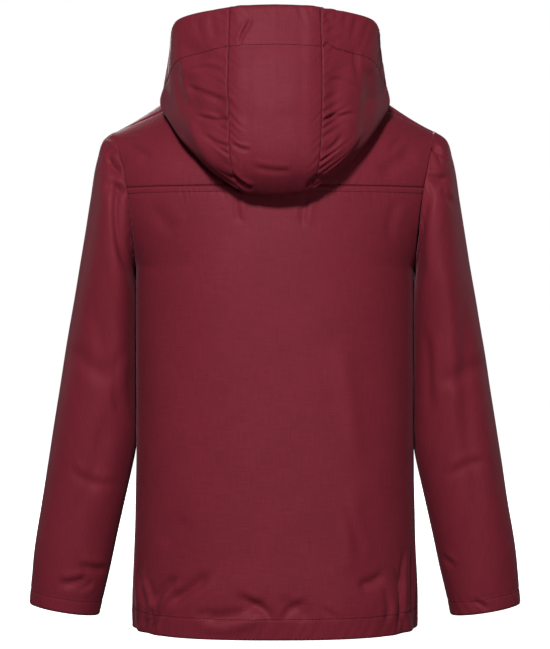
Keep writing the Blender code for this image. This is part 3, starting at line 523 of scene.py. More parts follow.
BODY_CREASES = (
    (1, 8, -545, 80, -563, 12, -2.2),
    (1, 38, -543, 4, -562, 7, -1.6),
    (1, -7, -565, -34, -547, 7, -1.6),
    (1, -89, -533, -113, -524, 7, -1.4),
    (1, -74, -441, -90, -504, 10, -0.9),
    (1, 146, -520, 139, -560, 5, -2.2),
    (1, 139, -530, 133, -554, 4.5, 1.5),
    (1, 133, -550, 139, -574, 4.5, 1.4),
    (1, 104, -524, 129, -554, 8, -2.8),
    (1, 110, -534, 126, -572, 5, 1.4),
    (1, 68, -518, 112, -552, 8, -2),
    (1, 121, -562, 129, -585, 4.5, -1.8),
    (1, 146, -560, 147, -585, 4, -1.8),
    (1, 132, -558, 134, -585, 4, -1.7),
    (1, -127, -516, -130, -584, 5, -1.7),
    (1, -138, -500, -140, -584, 4.5, -1.9),
    (1, -148, -490, -148, -584, 4, -1.7),
    (1, -114, -536, -119, -572, 6, -1.3),
    (1, 66, -556, 84, -566, 5, -0.9),
    (1, -48, -552, -66, -565, 5, -0.9),
    (-1, 120, -528, 122, -584, 5, -1.7),
    (-1, 134, -520, 135, -584, 5, -1.7),
    (-1, -118, -524, -121, -584, 5, -1.7),
    (-1, -133, -518, -134, -584, 5, -1.7),
    (1, 130, -133, 107, -161, 14.6, -0.8),
    (1, 40, -124, 36, -151, 7, -0.7),
    (1, -33, -124, -29, -155, 7.3, -0.8),
    (1, -130, -128, -123, -170, 10.4, -0.7),
    (1, -138, -53, -121, -72, 6.4, -1),
    (1, 162, -64, 132, -83, 9.6, -1),
    (-1, 30, -548, 62, -561, 8, -1.5),
    (-1, -96, -530, -122, -548, 8, -1.5),
    (-1, 128, -150, 104, -190, 14, -1.2),
    (-1, -126, -146, -100, -196, 14, -1.2),
    (-1, 24, -74, 46, -118, 10, -0.9),
    (-1, -22, -78, -40, -126, 10, -0.9),
    (-1, 18, -220, 15, -300, 9, -0.7),
    (-1, -17, -340, -19, -440, 9, -0.7),
)
SLEEVE_CREASES = (
    (1, 186, -63, 171, -71, 5.5, -1.8),
    (1, 181, -76, 164, -97, 7.6, -2),
    (1, 175, -108, 160, -119, 6.5, -1.6),
    (1, 168, -106, 157, -205, 9, -2),
    (1, -165, -118, -157, -205, 9, -1.4),
    (1, -166, -67, -186, -80, 5, -1.6),
    (1, -171, -63, -179, -87, 5, -1.2),
    (1, -161, -100, -184, -103, 6, -1.6),
    (1, -179, -113, -192, -128, 6.5, -1.2),
    (1, 233, -539, 204, -534, 8, -2.2),
    (1, 212, -520, 184, -526, 8, -1.8),
    (1, 198, -538, 214, -545, 5, -1.3),
    (1, -183, -512, -195, -520, 6, -1.4),
    (1, -214, -559, -230, -567, 5, -1.2),
    (1, 175, -167, 191, -372, 21.6, 1.6),
    (1, 197, -232, 216, -469, 17.3, -1.2),
    (1, -175, -178, -190, -372, 21.6, 1.5),
    (1, -203, -232, -222, -469, 17.3, -1.3),
    (1, 168, -286, 164, -361, 9.7, -1.2),
    (1, -162, -264, -166, -350, 9.7, -1.3),
    (1, 220, -415, 177, -432, 9.7, -1),
    (1, -186, -424, -229, -406, 9.7, -1.1),
    (-1, 226, -300, 188, -316, 9, -1.6),
    (-1, -224, -296, -184, -318, 9, -1.6),
    (-1, 240, -398, 196, -410, 8, -1.2),
    (-1, -236, -394, -190, -412, 8, -1.2),
    (-1, 186, -130, 168, -160, 9, -1.5),
    (-1, -188, -134, -166, -158, 9, -1.5),
    (-1, 250, -520, 216, -534, 7, -1.2),
    (-1, -252, -522, -214, -530, 7, -1.2),
)
GATHERS = 5
GATHER_DEPTH = 2.4
GATHER_SPREAD = math.radians(33.0)
GATHER_TOP = -536.0
GATHER_RISE = 30.0  # below its top, where a gather reaches its depth
GATHER_FADE = 0.2
FRONT_STEP, SIDE_HALF = 0.9, 20.0  # the front's gathers are out of step with the back's, from the side seam on
BODY_REACH = 161.0  # beyond it is sleeve
LIP_SHARE = 0.4  # of a trough's depth
LIP_PLACE = 1.05  # of its width, aside
BOW = 0.1  # how far a crease bends aside at its middle, at most, of its length
FADE, FADE_START = 0.35, 0.3  # of a crease's length, at each end
FACING = 2.0  # how soon a crease fades where the cloth turns from its face
WAVES, WAVE_LEAST = 7, 0.6  # of slack cloth


def creased(grid, normal, table, lip):
    """How far the rows of a table move each point outwards."""
    x, y, z = np.moveaxis(grid, -1, 0)
    moved = np.zeros(x.shape)
    for face, x1, z1, x2, z2, width, depth in table:
        along = np.array((x2 - x1, z2 - z1))
        length = np.hypot(*along)
        away = np.stack([x - x1, z - z1], axis=-1)
        share = (away @ along) / length**2
        aside = (away[..., 0] * along[1] - away[..., 1] * along[0]) / length
        if lip:
            aside += BOW * length * math.sin(x1 + z2) * 4.0 * share * (1.0 - share)
        faded = smooth_step(share / FADE + FADE_START) * smooth_step((1.0 - share) / FADE + FADE_START)
        across = np.exp(-((2.0 * aside / width) ** 2))
        if lip:
            across -= LIP_SHARE * np.exp(-((2.0 * (aside / width - LIP_PLACE)) ** 2))
        moved += depth * faded * smooth_step(normal[..., 1] * face * FACING) * across
    return moved


def gathered(grid):
    """Elastic in the hem at each side draws the cloth into upright gathers."""
    x, y, z = np.moveaxis(grid, -1, 0)
    around = np.arctan2(np.abs(y), np.abs(x))
    step = np.where(y > 0, 0.0, FRONT_STEP) * smooth_step(np.abs(y) / SIDE_HALF)
    phase = around / GATHER_SPREAD * GATHERS * math.pi + step
    drawn = smooth_step((GATHER_SPREAD * 1.25 - around) / GATHER_FADE)
    drawn *= smooth_step((GATHER_TOP - z) / GATHER_RISE)
    on_body = (np.abs(x) < BODY_REACH) & (z < GATHER_TOP)
    return -np.where(on_body, GATHER_DEPTH * drawn * (0.5 + 0.5 * np.cos(phase)), 0.0)


def slackness(grid, size, seed):
    """Faint uneven waviness of thin cloth, from a few crossed sine waves."""
    wave = np.random.RandomState(seed)
    total = np.zeros(grid.shape[:2])
    for _ in range(WAVES):
        way = wave.normal(size=3)
        way *= 2.0 * math.pi / (size * (WAVE_LEAST + wave.rand()) * np.linalg.norm(way))
        total += np.sin(grid @ way + wave.rand() * 2.0 * math.pi)
    return total / WAVES


# ------------------------------------------------
# The cloth: a coated plain weave in burgundy, with a slight sheen, that shows a pinkish light at grazing
# edges. Its weave and slubs lie along each panel's own width and length, in metres, in the UV map.
# ------------------------------------------------
CLOTH_COLOUR = (0.165, 0.0175, 0.0295)
THREAD_COLOUR = (0.055, 0.006, 0.011)
CLOTH_SURFACE = {
    "Roughness": 0.5, "Specular IOR Level": 0.12, "Specular Tint": (1.0, 0.45, 0.5, 1.0),
    "Sheen Weight": 0.1, "Sheen Roughness": 0.35, "Sheen Tint": (1.0, 0.38, 0.48, 1.0),
}
WEAVE_PITCH = 0.0007
WEAVE_BANDS = 1.0 / WEAVE_PITCH / 20.0 * 3.1416
WEAVE_DEPTH = 0.00006
SLUB_ACROSS, SLUB_ALONG = 1400.0, 45.0  # a metre
CLOUDS, CLOUD_SHARE = 14.0, 0.6
SHADE_PLACES = (0.475, 0.825)
CRINKLES = 95.0


def cloth_material(name, colour, shade=0.14, crinkle=0.0006):
    """A woven cloth: slubs and clouds in its colour, crossing threads and a faint crinkle in its surface."""
    made = material(name, CLOTH_SURFACE)
    tree = made.node_tree
    place = node(tree, "ShaderNodeUVMap", {}, uv_map="cloth").outputs["UV"]
    # slubs: threads a little thicker or paler than their neighbours, along the width and the length
    slubs = []
    for across, along in ((SLUB_ACROSS, SLUB_ALONG), (SLUB_ALONG, SLUB_ACROSS)):
        stretch = node(tree, "ShaderNodeMapping", {"Scale": (across, along, 1.0), "Vector": place})
        noise = {"Scale": 1.0, "Detail": 1.0, "Vector": stretch.outputs["Vector"]}
        slubs.append(node(tree, "ShaderNodeTexNoise", noise).outputs["Fac"])
    both = node(tree, "ShaderNodeMath", dict(enumerate(slubs)), operation="ADD")
    cloud = node(tree, "ShaderNodeTexNoise", {"Scale": CLOUDS, "Detail": 2.0, "Vector": place})
    mixed = node(
        tree, "ShaderNodeMath", {0: cloud.outputs["Fac"], 1: CLOUD_SHARE, 2: both.outputs["Value"]},
        operation="MULTIPLY_ADD",
    )
    halved = node(tree, "ShaderNodeMath", {0: mixed.outputs["Value"], 1: 0.5}, operation="MULTIPLY")
    ramp = node(tree, "ShaderNodeValToRGB", {"Fac": halved.outputs["Value"]})
    for element, level, at in zip(ramp.color_ramp.elements, (1.0 - shade, 1.0 + shade), SHADE_PLACES):
        element.color = (*(c * level for c in colour), 1.0)
        element.position = at
    # the weave's crossing threads and the coated cloth's faint crinkle
    bands = {"Scale": WEAVE_BANDS, "Vector": place}
    threads = (node(tree, "ShaderNodeTexWave", bands, bands_direction=way).outputs["Fac"] for way in "XY")
    crossing = node(tree, "ShaderNodeMath", dict(enumerate(threads)), operation="MULTIPLY")
    fine = node(tree, "ShaderNodeBump", {
        "Strength": 0.35, "Distance": WEAVE_DEPTH, "Height": crossing.outputs["Value"],
    })
    wrinkle = node(tree, "ShaderNodeTexNoise", {
        "Scale": CRINKLES, "Detail": 3.0, "Roughness": 0.55, "Vector": place,
    })
    crumple = node(tree, "ShaderNodeBump", {
        "Strength": 0.5, "Distance": crinkle,
        "Height": wrinkle.outputs["Fac"], "Normal": fine.outputs["Normal"],
    })
    surface = {"Base Color": ramp.outputs["Color"], "Normal": crumple.outputs["Normal"]}
    feed(tree, tree.nodes["Principled BSDF"], surface)
    return made


cloth = cloth_material("burgundy_cloth", CLOTH_COLOUR)
thread = cloth_material("burgundy_thread", THREAD_COLOUR, shade=0.2, crinkle=0.0001)

# ------------------------------------------------
# How a panel is made up: its grid of outer points takes its creases, its edges sink into the seams or turn
# in at the openings, and it gets a thin wall inwards. Stitches are short raised lengths of thread that lie
# in a shallow dimpled line.
# ------------------------------------------------
CLOTH_WALL = 1.0
TURNED_WALL = 2.4
SEAM_HALF = 1.1
LEAN = 0.4  # of the puckers at a seam
RELIEF = 1.7  # of the creases and puckers, over their tables' depths
HELD_BY_SEAM = 1.6  # how far from a seam a pucker reaches its depth
SLACK_SEED = 6
TROUGH_SHARE = 0.2  # a pucker's trough, of the distance between two
DRIFT = ((0.3, 0.11, 1.0), (0.2, 0.053, 2.0))  # of the puckers' pitch: how much, how often, turn by the seed
REACH_LEAST, REACH_MORE = 0.5, 1.2  # a pucker's own reach, by its chance
DEPTH_LEAST, DEPTH_MORE = 0.4, 0.9
CHANCE_STEP, CHANCE_SPREAD = 12.9898, 43758.5453  # scatter the puckers' chances evenly
EDGE_ROUND, EDGE_DEPTH = 1.6, 0.8
TURNED_IN, TURNED_FADE = 26.0, 2.0  # how far from an open edge the cloth is double
STITCHED_DEPTH, STITCHED_HALF = 0.65, 1.1
TUCK, TUCK_DEPTH = 1.5, 0.55  # how far a seam's under edge reaches below its neighbour
MERGED = 1e-7
STITCH_PITCH = 3.2
STITCH_LENGTH = 2.5
STITCH_RADIUS = 0.42
STITCH_MARGIN = 1.0  # from a line's end to its first stitch
STITCH_RINGS = ((-0.5, 0.35, -0.3), (-0.3, 1.0, 0.12), (0.3, 1.0, 0.12), (0.5, 0.35, -0.3))
STITCH_SIDES = 5
EDGE_LINES = {
    "low": (np.s_[0], np.s_[1]), "high": (np.s_[-1], np.s_[-2]),
    "left": (np.s_[:, 0], np.s_[:, 1]), "right": (np.s_[:, -1], np.s_[:, -2]),
}
made_panels = {}


def grid_normals(grid, outward, tube):
    """Unit normals of a grid of points, rows by columns."""
    wrap = np.concatenate([grid[:, -2:-1], grid, grid[:, 1:2]], axis=1) if tube else grid
    across = np.gradient(wrap, axis=1)
    if tube:
        across = across[:, 1:-1]
    along = np.gradient(grid, axis=0)
    normal = np.cross(across, along) * outward
    return normal / np.maximum(np.linalg.norm(normal, axis=2), 1e-9)[..., None]


def lengths(grid, axis):
    steps = np.linalg.norm(np.diff(grid, axis=axis), axis=2)
    start = np.zeros_like(np.take(steps, [0], axis=axis))
    return np.cumsum(np.concatenate([start, steps], axis=axis), axis=axis)


def from_edges(grid):
    """How far each point lies from the grid's low, high, left and right edge, along the cloth."""
    up, side = lengths(grid, 0), lengths(grid, 1)
    return {"low": up, "high": up[-1:] - up, "left": side, "right": side[:, -1:] - side}


def placed(name, mesh, finish, body="jacket"):
    """The object of a finished mesh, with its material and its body."""
    data = bpy.data.meshes.new(name)
    mesh.to_mesh(data)
    mesh.free()
    data.shade_smooth()
    data.materials.append(finish)
    piece = in_scene(name, data)
    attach(piece, body)
    return piece


def puckered(grid, away, pucker, seed):
    """How far a row of puckers draws each point inwards, along the edge that they hang from."""
    edge, reach, depth, pitch = pucker
    run = lengths(grid, 0 if edge in ("left", "right") else 1) + LEAN * away[edge]
    place = run / pitch
    for much, often, turn in DRIFT:
        place = place + much * np.sin(run * often + turn * seed)
    which = np.round(place)
    chance = (np.sin(which * CHANCE_STEP + seed) * CHANCE_SPREAD) % 1.0
    trough = np.exp(-(((place - which) / TROUGH_SHARE) ** 2)) - TROUGH_SHARE * math.sqrt(math.pi)
    drawn = np.exp(-((away[edge] / (reach * (REACH_LEAST + REACH_MORE * chance))) ** 2))
    drawn *= 1.0 - np.exp(-((away[edge] / HELD_BY_SEAM) ** 2))
    return RELIEF * depth * (DEPTH_LEAST + DEPTH_MORE * chance) * trough * drawn


def cloth_panel(
    name, grid, outward, creases, seams, seed, openings=(), tube=False, puckers=(), lines=(),
    slack=(0.35, 46.0), tucked=(),
):
    """Make one panel's shell. Seams are (edge, how far it sinks), puckers (edge, reach, depth, pitch), lines
    (edge, the stitches' distance from it), openings the edges that are turned in, and slack (depth, size)."""
    normal = grid_normals(grid, outward, tube)
    away = from_edges(grid)
    moved = np.zeros(grid.shape[:2])
    for table in creases:
        lip = table is not FOLDS
        moved += creased(grid, normal, table, lip) * (RELIEF if lip else 1.0)
    if "hood" not in name:
        moved += gathered(grid)
    moved += slack[0] * slackness(grid, slack[1], SLACK_SEED)
    for pucker in puckers:
        moved -= puckered(grid, away, pucker, seed)
    for edge, sink in seams:
        moved -= sink * np.exp(-((away[edge] / SEAM_HALF) ** 2))
    for edge, distance in lines:
        moved -= STITCHED_DEPTH * np.exp(-(((away[edge] - distance) / STITCHED_HALF) ** 2))
    for edge in openings:
        moved -= EDGE_DEPTH * np.clip(1.0 - away[edge] / EDGE_ROUND, 0.0, 1.0) ** 2
    shaped = grid + normal * moved[..., None]
    if tube:
        shaped[:, -1] = shaped[:, 0]
    made_panels[name] = (shaped.copy(), grid_normals(shaped, outward, tube))
    for edge in tucked:
        last, next_to_it = EDGE_LINES[edge]
        shaped[last] += unit(shaped[last] - shaped[next_to_it]) * TUCK - normal[last] * TUCK_DEPTH
    rows, columns = grid.shape[:2]
    mesh = bmesh.new()
    bmesh.ops.create_grid(mesh, x_segments=columns - 1, y_segments=rows - 1, size=1.0)
    flat_u, flat_v = away["left"] - away["left"][:, -1:] / 2.0, away["low"]
    uv = mesh.loops.layers.uv.new("cloth")
    weights = mesh.verts.layers.deform.verify()
    mesh.verts.ensure_lookup_table()
    turned = np.zeros((rows, columns))
    for edge in openings:
        turned = np.maximum(turned, smooth_step((TURNED_IN - away[edge]) / TURNED_FADE))
    for i, vertex in enumerate(mesh.verts):
        row, column = divmod(i, columns)
        vertex.co = shaped[row, column] * MM
        vertex[weights][0] = CLOTH_WALL / TURNED_WALL + (1.0 - CLOTH_WALL / TURNED_WALL) * turned[row, column]
        for loop in vertex.link_loops:
            loop[uv].uv = (flat_u[row, column] * MM, flat_v[row, column] * MM)
    if outward < 0:
        bmesh.ops.reverse_faces(mesh, faces=mesh.faces)
    if tube:
        bmesh.ops.remove_doubles(mesh, verts=mesh.verts, dist=MERGED)
    piece = placed(name, mesh, cloth)
    group = piece.vertex_groups.new(name="turned")
    wall = piece.modifiers.new("wall", "SOLIDIFY")
    wall.thickness = TURNED_WALL * MM
    wall.offset = -1.0
    wall.vertex_group = group.name
    wall.use_even_offset = False
    return piece


def stitch_line(panel_name, edge, distance, first=0.0, last=1.0):
    """Points and normals along a line that keeps its distance from a panel's edge."""
    grid, normal = made_panels[panel_name]
    away = from_edges(grid)[edge]
    if edge in ("left", "right"):
        grid, normal, away = grid.transpose(1, 0, 2), normal.transpose(1, 0, 2), away.T
    if edge in ("high", "right"):
        grid, normal, away = grid[::-1], normal[::-1], away[::-1]
    found, ways = [], []
    columns = range(int(first * (grid.shape[1] - 1)), int(last * (grid.shape[1] - 1)) + 1)
    for j in columns:
        place = np.interp(distance, away[:, j], np.arange(len(away)))
        low = int(min(place, len(away) - 2))
        share = place - low
        found.append(grid[low, j] * (1 - share) + grid[low + 1, j] * share)
        ways.append(normal[low, j] * (1 - share) + normal[low + 1, j] * share)
    return np.array(found), np.array(ways)



def lofts(name, solids, finish, body="jacket"):
    """One mesh of closed solids, each through rings of equally many corners."""
    solids = np.array(solids)
    rings, sides = solids.shape[1:3]
    corners = np.concatenate([solids, solids[:, :, :1]], axis=2).reshape(-1, 3)
    mesh = bmesh.new()
    bmesh.ops.create_grid(mesh, x_segments=sides, y_segments=len(solids) * rings - 1, size=1.0)
    for vertex, place in zip(mesh.verts, corners):
        vertex.co = place * MM
    mesh.verts.index_update()
    between = [f for f in mesh.faces if len({v.index // (sides + 1) // rings for v in f.verts}) > 1]
    bmesh.ops.delete(mesh, geom=between, context="FACES_ONLY")
    bmesh.ops.remove_doubles(mesh, verts=mesh.verts, dist=MERGED)
    bmesh.ops.holes_fill(mesh, edges=mesh.edges, sides=sides)
    bmesh.ops.recalc_face_normals(mesh, faces=mesh.faces)
    uv = mesh.loops.layers.uv.new("cloth")
    for face in mesh.faces:
        for loop in face.loops:
            loop[uv].uv = (loop.vert.co.x, loop.vert.co.z)
    return placed(name, mesh, finish, body)


def sewn(name, lines):
    """Stitches along several lines, each sagging into the cloth at its ends."""
    turns = 2.0 * math.pi * np.arange(STITCH_SIDES) / STITCH_SIDES
    stitches = []
    for line, ways in lines:
        run = run_along(line)
        sewn_length = run[-1] - 2.0 * STITCH_MARGIN
        count = int(sewn_length / STITCH_PITCH)
        for k in range(count):
            at = STITCH_MARGIN + (k + 0.5) * sewn_length / count
            start, middle, end = (
                np.array([np.interp(at + d * STITCH_LENGTH, run, line[:, i]) for i in range(3)])
                for d in (-0.5, 0.0, 0.5)
            )
            out = unit(np.array([np.interp(at, run, ways[:, i]) for i in range(3)]))
            side = unit(np.cross(end - start, out))
            round_it = side * np.cos(turns)[:, None] + out * np.sin(turns)[:, None]
            stitches.append([
                middle + (end - start) * share + out * lift + round_it * STITCH_RADIUS * thick
                for share, thick, lift in STITCH_RINGS
            ])
    return lofts(name, stitches, thread)


# ------------------------------------------------
# The panels' grids: the points that each cloth panel is drawn through, on the CAD panels' own rows and columns
# with more between them.
# ------------------------------------------------
COLUMNS_FINER, ROWS_FINER = 5, 8
RINGS_FINER, RING_COLUMNS_FINER = 8, 7
HOOD_ROWS_FINER, HOOD_COLUMNS_FINER = 13, 9
FIRST_RINGS = (0.0, 0.0125, 0.025, 0.045, 0.07)  # close together at the sleeve's head
EVEN_RINGS_FROM = 0.10


def half_columns(neck_share, neck_columns):
    """Places from the middle to the side: along the neck, and then along the shoulder."""
    on_neck = np.linspace(0.0, neck_share, neck_columns + 1)
    on_shoulder = np.linspace(neck_share, 1.0, SHOULDER_COLUMNS + 1)
    return finer(np.concatenate([on_neck, on_shoulder[1:]]), COLUMNS_FINER)


back_columns = half_columns(BACK_NECK_SHARE, BACK_NECK_COLUMNS)
front_columns = half_columns(FRONT_NECK_SHARE, FRONT_NECK_COLUMNS)
casing_row = (CASING_Z - HEM_Z) / (PIT_Z - HEM_Z)
low_rows = np.concatenate([[0.0, casing_row / 2], np.linspace(casing_row, 1.0, BODY_ROWS - 1)])
pit_rows = 1.0 + np.linspace(0.0, 1.0, PIT_ROWS + 1)
top_rows = finer(2.0 + np.linspace(0.0, 1.0, UPPER_ROWS + 1), ROWS_FINER)
back_rows = finer(np.concatenate([low_rows, pit_rows[1:]]), ROWS_FINER)
back_grid = both_halves(panel(back_columns, back_rows, 1, upper=False))
yoke_grid = both_halves(panel(back_columns, top_rows, 1))
front_grid = panel(front_columns, np.concatenate([back_rows, top_rows[1:]]), -1)

half_angles = finer(np.concatenate([
    np.linspace(0.0, YOKE_ANGLE, UPPER_ROWS + 1), np.linspace(YOKE_ANGLE, math.pi, PIT_ROWS + 1)[1:],
]), RING_COLUMNS_FINER)
even_rings = np.linspace(EVEN_RINGS_FROM, CUFF_SHARE, SLEEVE_ROWS - len(FIRST_RINGS))
sleeve_grid = sleeve(
    np.concatenate([half_angles, 2.0 * math.pi - half_angles[-2::-1]]),
    finer(np.concatenate([FIRST_RINGS, even_rings, [1.0]]), RINGS_FINER),
)

knots = [i + j / rows for i, rows in enumerate(HOOD_KNOTS) for j in range(rows)] + [len(HOOD_KNOTS)]
knots = finer(knots, HOOD_ROWS_FINER)
nape_column = HOOD_STATIONS[-1][0]
seam_column = nape_column - PANEL_SEAM_COLUMNS
hood_side = hood(finer(np.arange(0, seam_column + 1), HOOD_COLUMNS_FINER), knots)
hood_middle = hood(finer(np.arange(seam_column, nape_column + 1), HOOD_COLUMNS_FINER), knots)[:, ::-1]

# ------------------------------------------------
# Back panel: one piece of cloth from the yoke seam to the hem, sewn to the yoke, the sleeves and the fronts.
# Its hem is turned up as a casing for the elastic at each side.
# ------------------------------------------------
SEAM_SINK, YOKE_SEAM_SINK = 0.25, 0.1
YOKE_ROW = 5.8  # the stitches below the yoke seam
HEM_ROW = 23.0
back = cloth_panel(
    "back_panel", back_grid, -1, (FOLDS, BODY_CREASES), openings=("low",), seed=3,
    seams=(("high", YOKE_SEAM_SINK), ("left", SEAM_SINK), ("right", SEAM_SINK)),
    puckers=(("high", 8.0, 0.4, 8.0), ("low", 20.0, 0.5, 14.0)), lines=(("high", YOKE_ROW), ("low", HEM_ROW)),
)
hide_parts("back_body")

# ------------------------------------------------
# Back yoke: the piece over the shoulders, between the neck seam, the shoulder seams and the back panel. It is
# sewn over the back panel's upper edge.
# ------------------------------------------------
YOKE_NECK_SINK = 0.5
yoke = cloth_panel(
    "yoke_panel", yoke_grid, -1, (FOLDS, BODY_CREASES), seed=5, tucked=("low",),
    seams=(("low", YOKE_SEAM_SINK), ("high", YOKE_NECK_SINK), ("left", SEAM_SINK), ("right", SEAM_SINK)),
    puckers=(("low", 7.0, 0.35, 8.5),),
)
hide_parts("back_yoke")

# ------------------------------------------------
# Fronts: a left and a right piece from the shoulder seam to the hem, on either side of the zip. They can't
# be seen in the photo, so they are plain.
# ------------------------------------------------
ZIP_ROW = 6.0  # the stitches beside the zip
for name, grid, zip_side, seam_side, seed in (
    ("left", front_grid, "left", "right", 7), ("right", mirrored(front_grid), "right", "left", 9),
):
    piece = cloth_panel(
        "front_panel_" + name, grid, 1, (FOLDS, BODY_CREASES), openings=("low",), seed=seed,
        seams=(("high", SEAM_SINK), (seam_side, SEAM_SINK)), puckers=((zip_side, 7.0, 0.45, 17.0),),
        lines=((zip_side, ZIP_ROW), ("low", HEM_ROW)), tucked=("high", seam_side),
    )
    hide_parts("front_" + name)

# ------------------------------------------------
# Sleeves: one piece each, set into the armhole and closed along the underside, with a turned and stitched
# hem at the cuff.
# ------------------------------------------------
CUFF_ROW = 16.0
for name, grid, seed in (("left", sleeve_grid, 11), ("right", mirrored(sleeve_grid), 14)):
    piece = cloth_panel(
        "sleeve_panel_" + name, grid, -1, (FOLDS, SLEEVE_CREASES), openings=("high",), seed=seed, tube=True,
        seams=(("low", SEAM_SINK),), puckers=(("low", 9.0, 0.6, 15.0), ("high", 15.0, 0.45, 17.0)),
        lines=(("high", CUFF_ROW),), tucked=("low",),
    )
    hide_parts("sleeve_" + name)

# ------------------------------------------------
# Hood: a middle strip and two sides, sewn to the neckline and hanging open down the back. Its rim is turned
# in as a deep casing.
# ------------------------------------------------
HOOD_SIDE_CUT = (0.31, 0.371)
HOOD_SIDE_AREA = 0.0378
HOOD_MIDDLE_CUT = (0.101, 0.39)
HOOD_MIDDLE_AREA = 0.0324
RIM_ROW = 44.0
NECK_SINK, STRIP_SINK = 0.4, 0.15
HOOD_SLACK = (0.9, 40.0)
MIDDLE_PUCKERS = (("left", 6.0, 0.7, 9.0), ("right", 7.0, 0.8, 10.0), ("high", 10.0, 0.4, 13.0))
LEFT_PUCKERS = (("right", 13.0, 1.3, 11.0), ("high", 22.0, 0.5, 16.0))
RIGHT_PUCKERS = (("left", 16.0, 2.0, 10.0), ("high", 30.0, 0.9, 11.0))
for name, node_name, grid, outward, joined, puckers, seed, cut, area in (
    ("hood_middle_panel", "hood_centre", both_halves(hood_middle), -1, ("left", "right"), MIDDLE_PUCKERS, 17,
     HOOD_MIDDLE_CUT, HOOD_MIDDLE_AREA),
    ("hood_side_left", "hood_left", hood_side, 1, ("right",), LEFT_PUCKERS, 19, HOOD_SIDE_CUT, HOOD_SIDE_AREA),
    ("hood_side_right", "hood_right", mirrored(hood_side), 1, ("left",), RIGHT_PUCKERS, 23,
     HOOD_SIDE_CUT, HOOD_SIDE_AREA),
):
    piece = cloth_panel(
        name, grid, outward, (HOOD_CREASES,), openings=("high",), seed=seed,
        seams=(("low", NECK_SINK), *((edge, STRIP_SINK) for edge in joined)), puckers=puckers,
        lines=(("high", RIM_ROW),), slack=HOOD_SLACK, tucked=("low",),
    )
    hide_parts(node_name)

# ------------------------------------------------
# Sewing: two rows on the yoke seam, one on each turned hem and casing, and one beside each front edge, in a
# darker thread.
# ------------------------------------------------
YOKE_UPPER_ROW = 1.2
RIM_FROM = 0.25  # the share of a hood side at the throat where its row isn't sewn

sewn("yoke_stitches", [
    stitch_line("yoke_panel", "low", YOKE_UPPER_ROW), stitch_line("back_panel", "high", YOKE_ROW),
])
hemmed = ("back_panel", "front_panel_left", "front_panel_right")
sewn("hem_stitches", [stitch_line(name, "low", HEM_ROW) for name in hemmed])
sewn("cuff_stitches", [stitch_line("sleeve_panel_" + side, "high", CUFF_ROW) for side in ("left", "right")])
sewn("rim_stitches", [
    stitch_line("hood_middle_panel", "high", RIM_ROW),
    stitch_line("hood_side_left", "high", RIM_ROW, first=RIM_FROM),
    stitch_line("hood_side_right", "high", RIM_ROW, last=1.0 - RIM_FROM),
])
sewn("front_edge_stitches", [stitch_line("front_panel_" + side, side, ZIP_ROW) for side in ("left", "right")])

# ------------------------------------------------
# Zip: behind the front edges, from the hem to the neck. Two woven tapes carry moulded teeth, and a slider of
# painted metal with a pull tab is at the top. It can't be seen in the photo, and is a usual one for such a
# jacket. The slider, its loop, the pull tab and the box at the bottom are the CAD's shapes with rounded edges.
# ------------------------------------------------
TAPE_BEAD, TAPE_OUTER = 1.2, 15.0  # the tape's edge inside the teeth, and its outer edge
TAPE_END = 0.5
TAPE_COLOUR = (0.095, 0.012, 0.019)
TAPE_ROWS = 240
TAPE_SECTION = (
    # place across, depth below the cloth
    (TAPE_BEAD, 2.5), (4.2, 2.2), (8.0, 2.2), (14.0, 2.2), (TAPE_OUTER, 2.4),
    (TAPE_OUTER, 3.1), (14.0, 3.2), (8.0, 3.2), (4.2, 3.2), (TAPE_BEAD, 3.3),
)
CHAIN_FRONT, CHAIN_BACK = 0.9, 3.6
CHAIN_START = 10.6
CHAIN_STOP = 8.6  # below the top of the zip
TOOTH_PITCH = 2.8
TOOTH_RINGS = (
    # place across, half height along the zip, thickness
    (3.9, 0.60, 0.86), (3.0, 0.72, 1.0), (1.2, 0.66, 1.0), (0.5, 0.48, 0.92), (-0.1, 0.62, 0.96),
    (-0.7, 0.52, 0.8),
)
TOOTH_CORNERS = (
    (-1.0, -0.35), (-1.0, 0.35), (-0.45, 0.5), (0.45, 0.5),
    (1.0, 0.35), (1.0, -0.35), (0.45, -0.5), (-0.45, -0.5),
)
TOOTH_COLOUR = (0.085, 0.011, 0.017)
METAL_COLOUR = (0.16, 0.15, 0.15)
SMOOTHER, ROUGHER = 0.08, 0.12  # the gloss's unevenness
GRAIN_DEPTH = 0.00005
JOINED, FLAT_ANGLE = 1e-6, 0.02

zip_edge, zip_beside = front_grid[:, 0], front_grid[:, COLUMNS_FINER]
zip_normal = unit(grid_normals(front_grid, 1, False)[:, 0] * (0, 1, 1))
zip_run = run_along(zip_edge)


def zip_points(distance, x, depth):
    """Points of the zip: how far up from the hem, how far from the middle and how deep below the cloth."""
    distance, x, depth = np.broadcast_arrays(distance, x, depth)

    def read(values):
        return np.stack([np.interp(distance, zip_run, values[:, i]) for i in range(3)], axis=-1)

    start, end = read(zip_edge), read(zip_beside)
    share = np.maximum(np.abs(x) - start[..., 0], 0.0) / (end[..., 0] - start[..., 0])
    place = start + (end - start) * share[..., None] - read(zip_normal) * depth[..., None]
    place[..., 0] = x
    return place


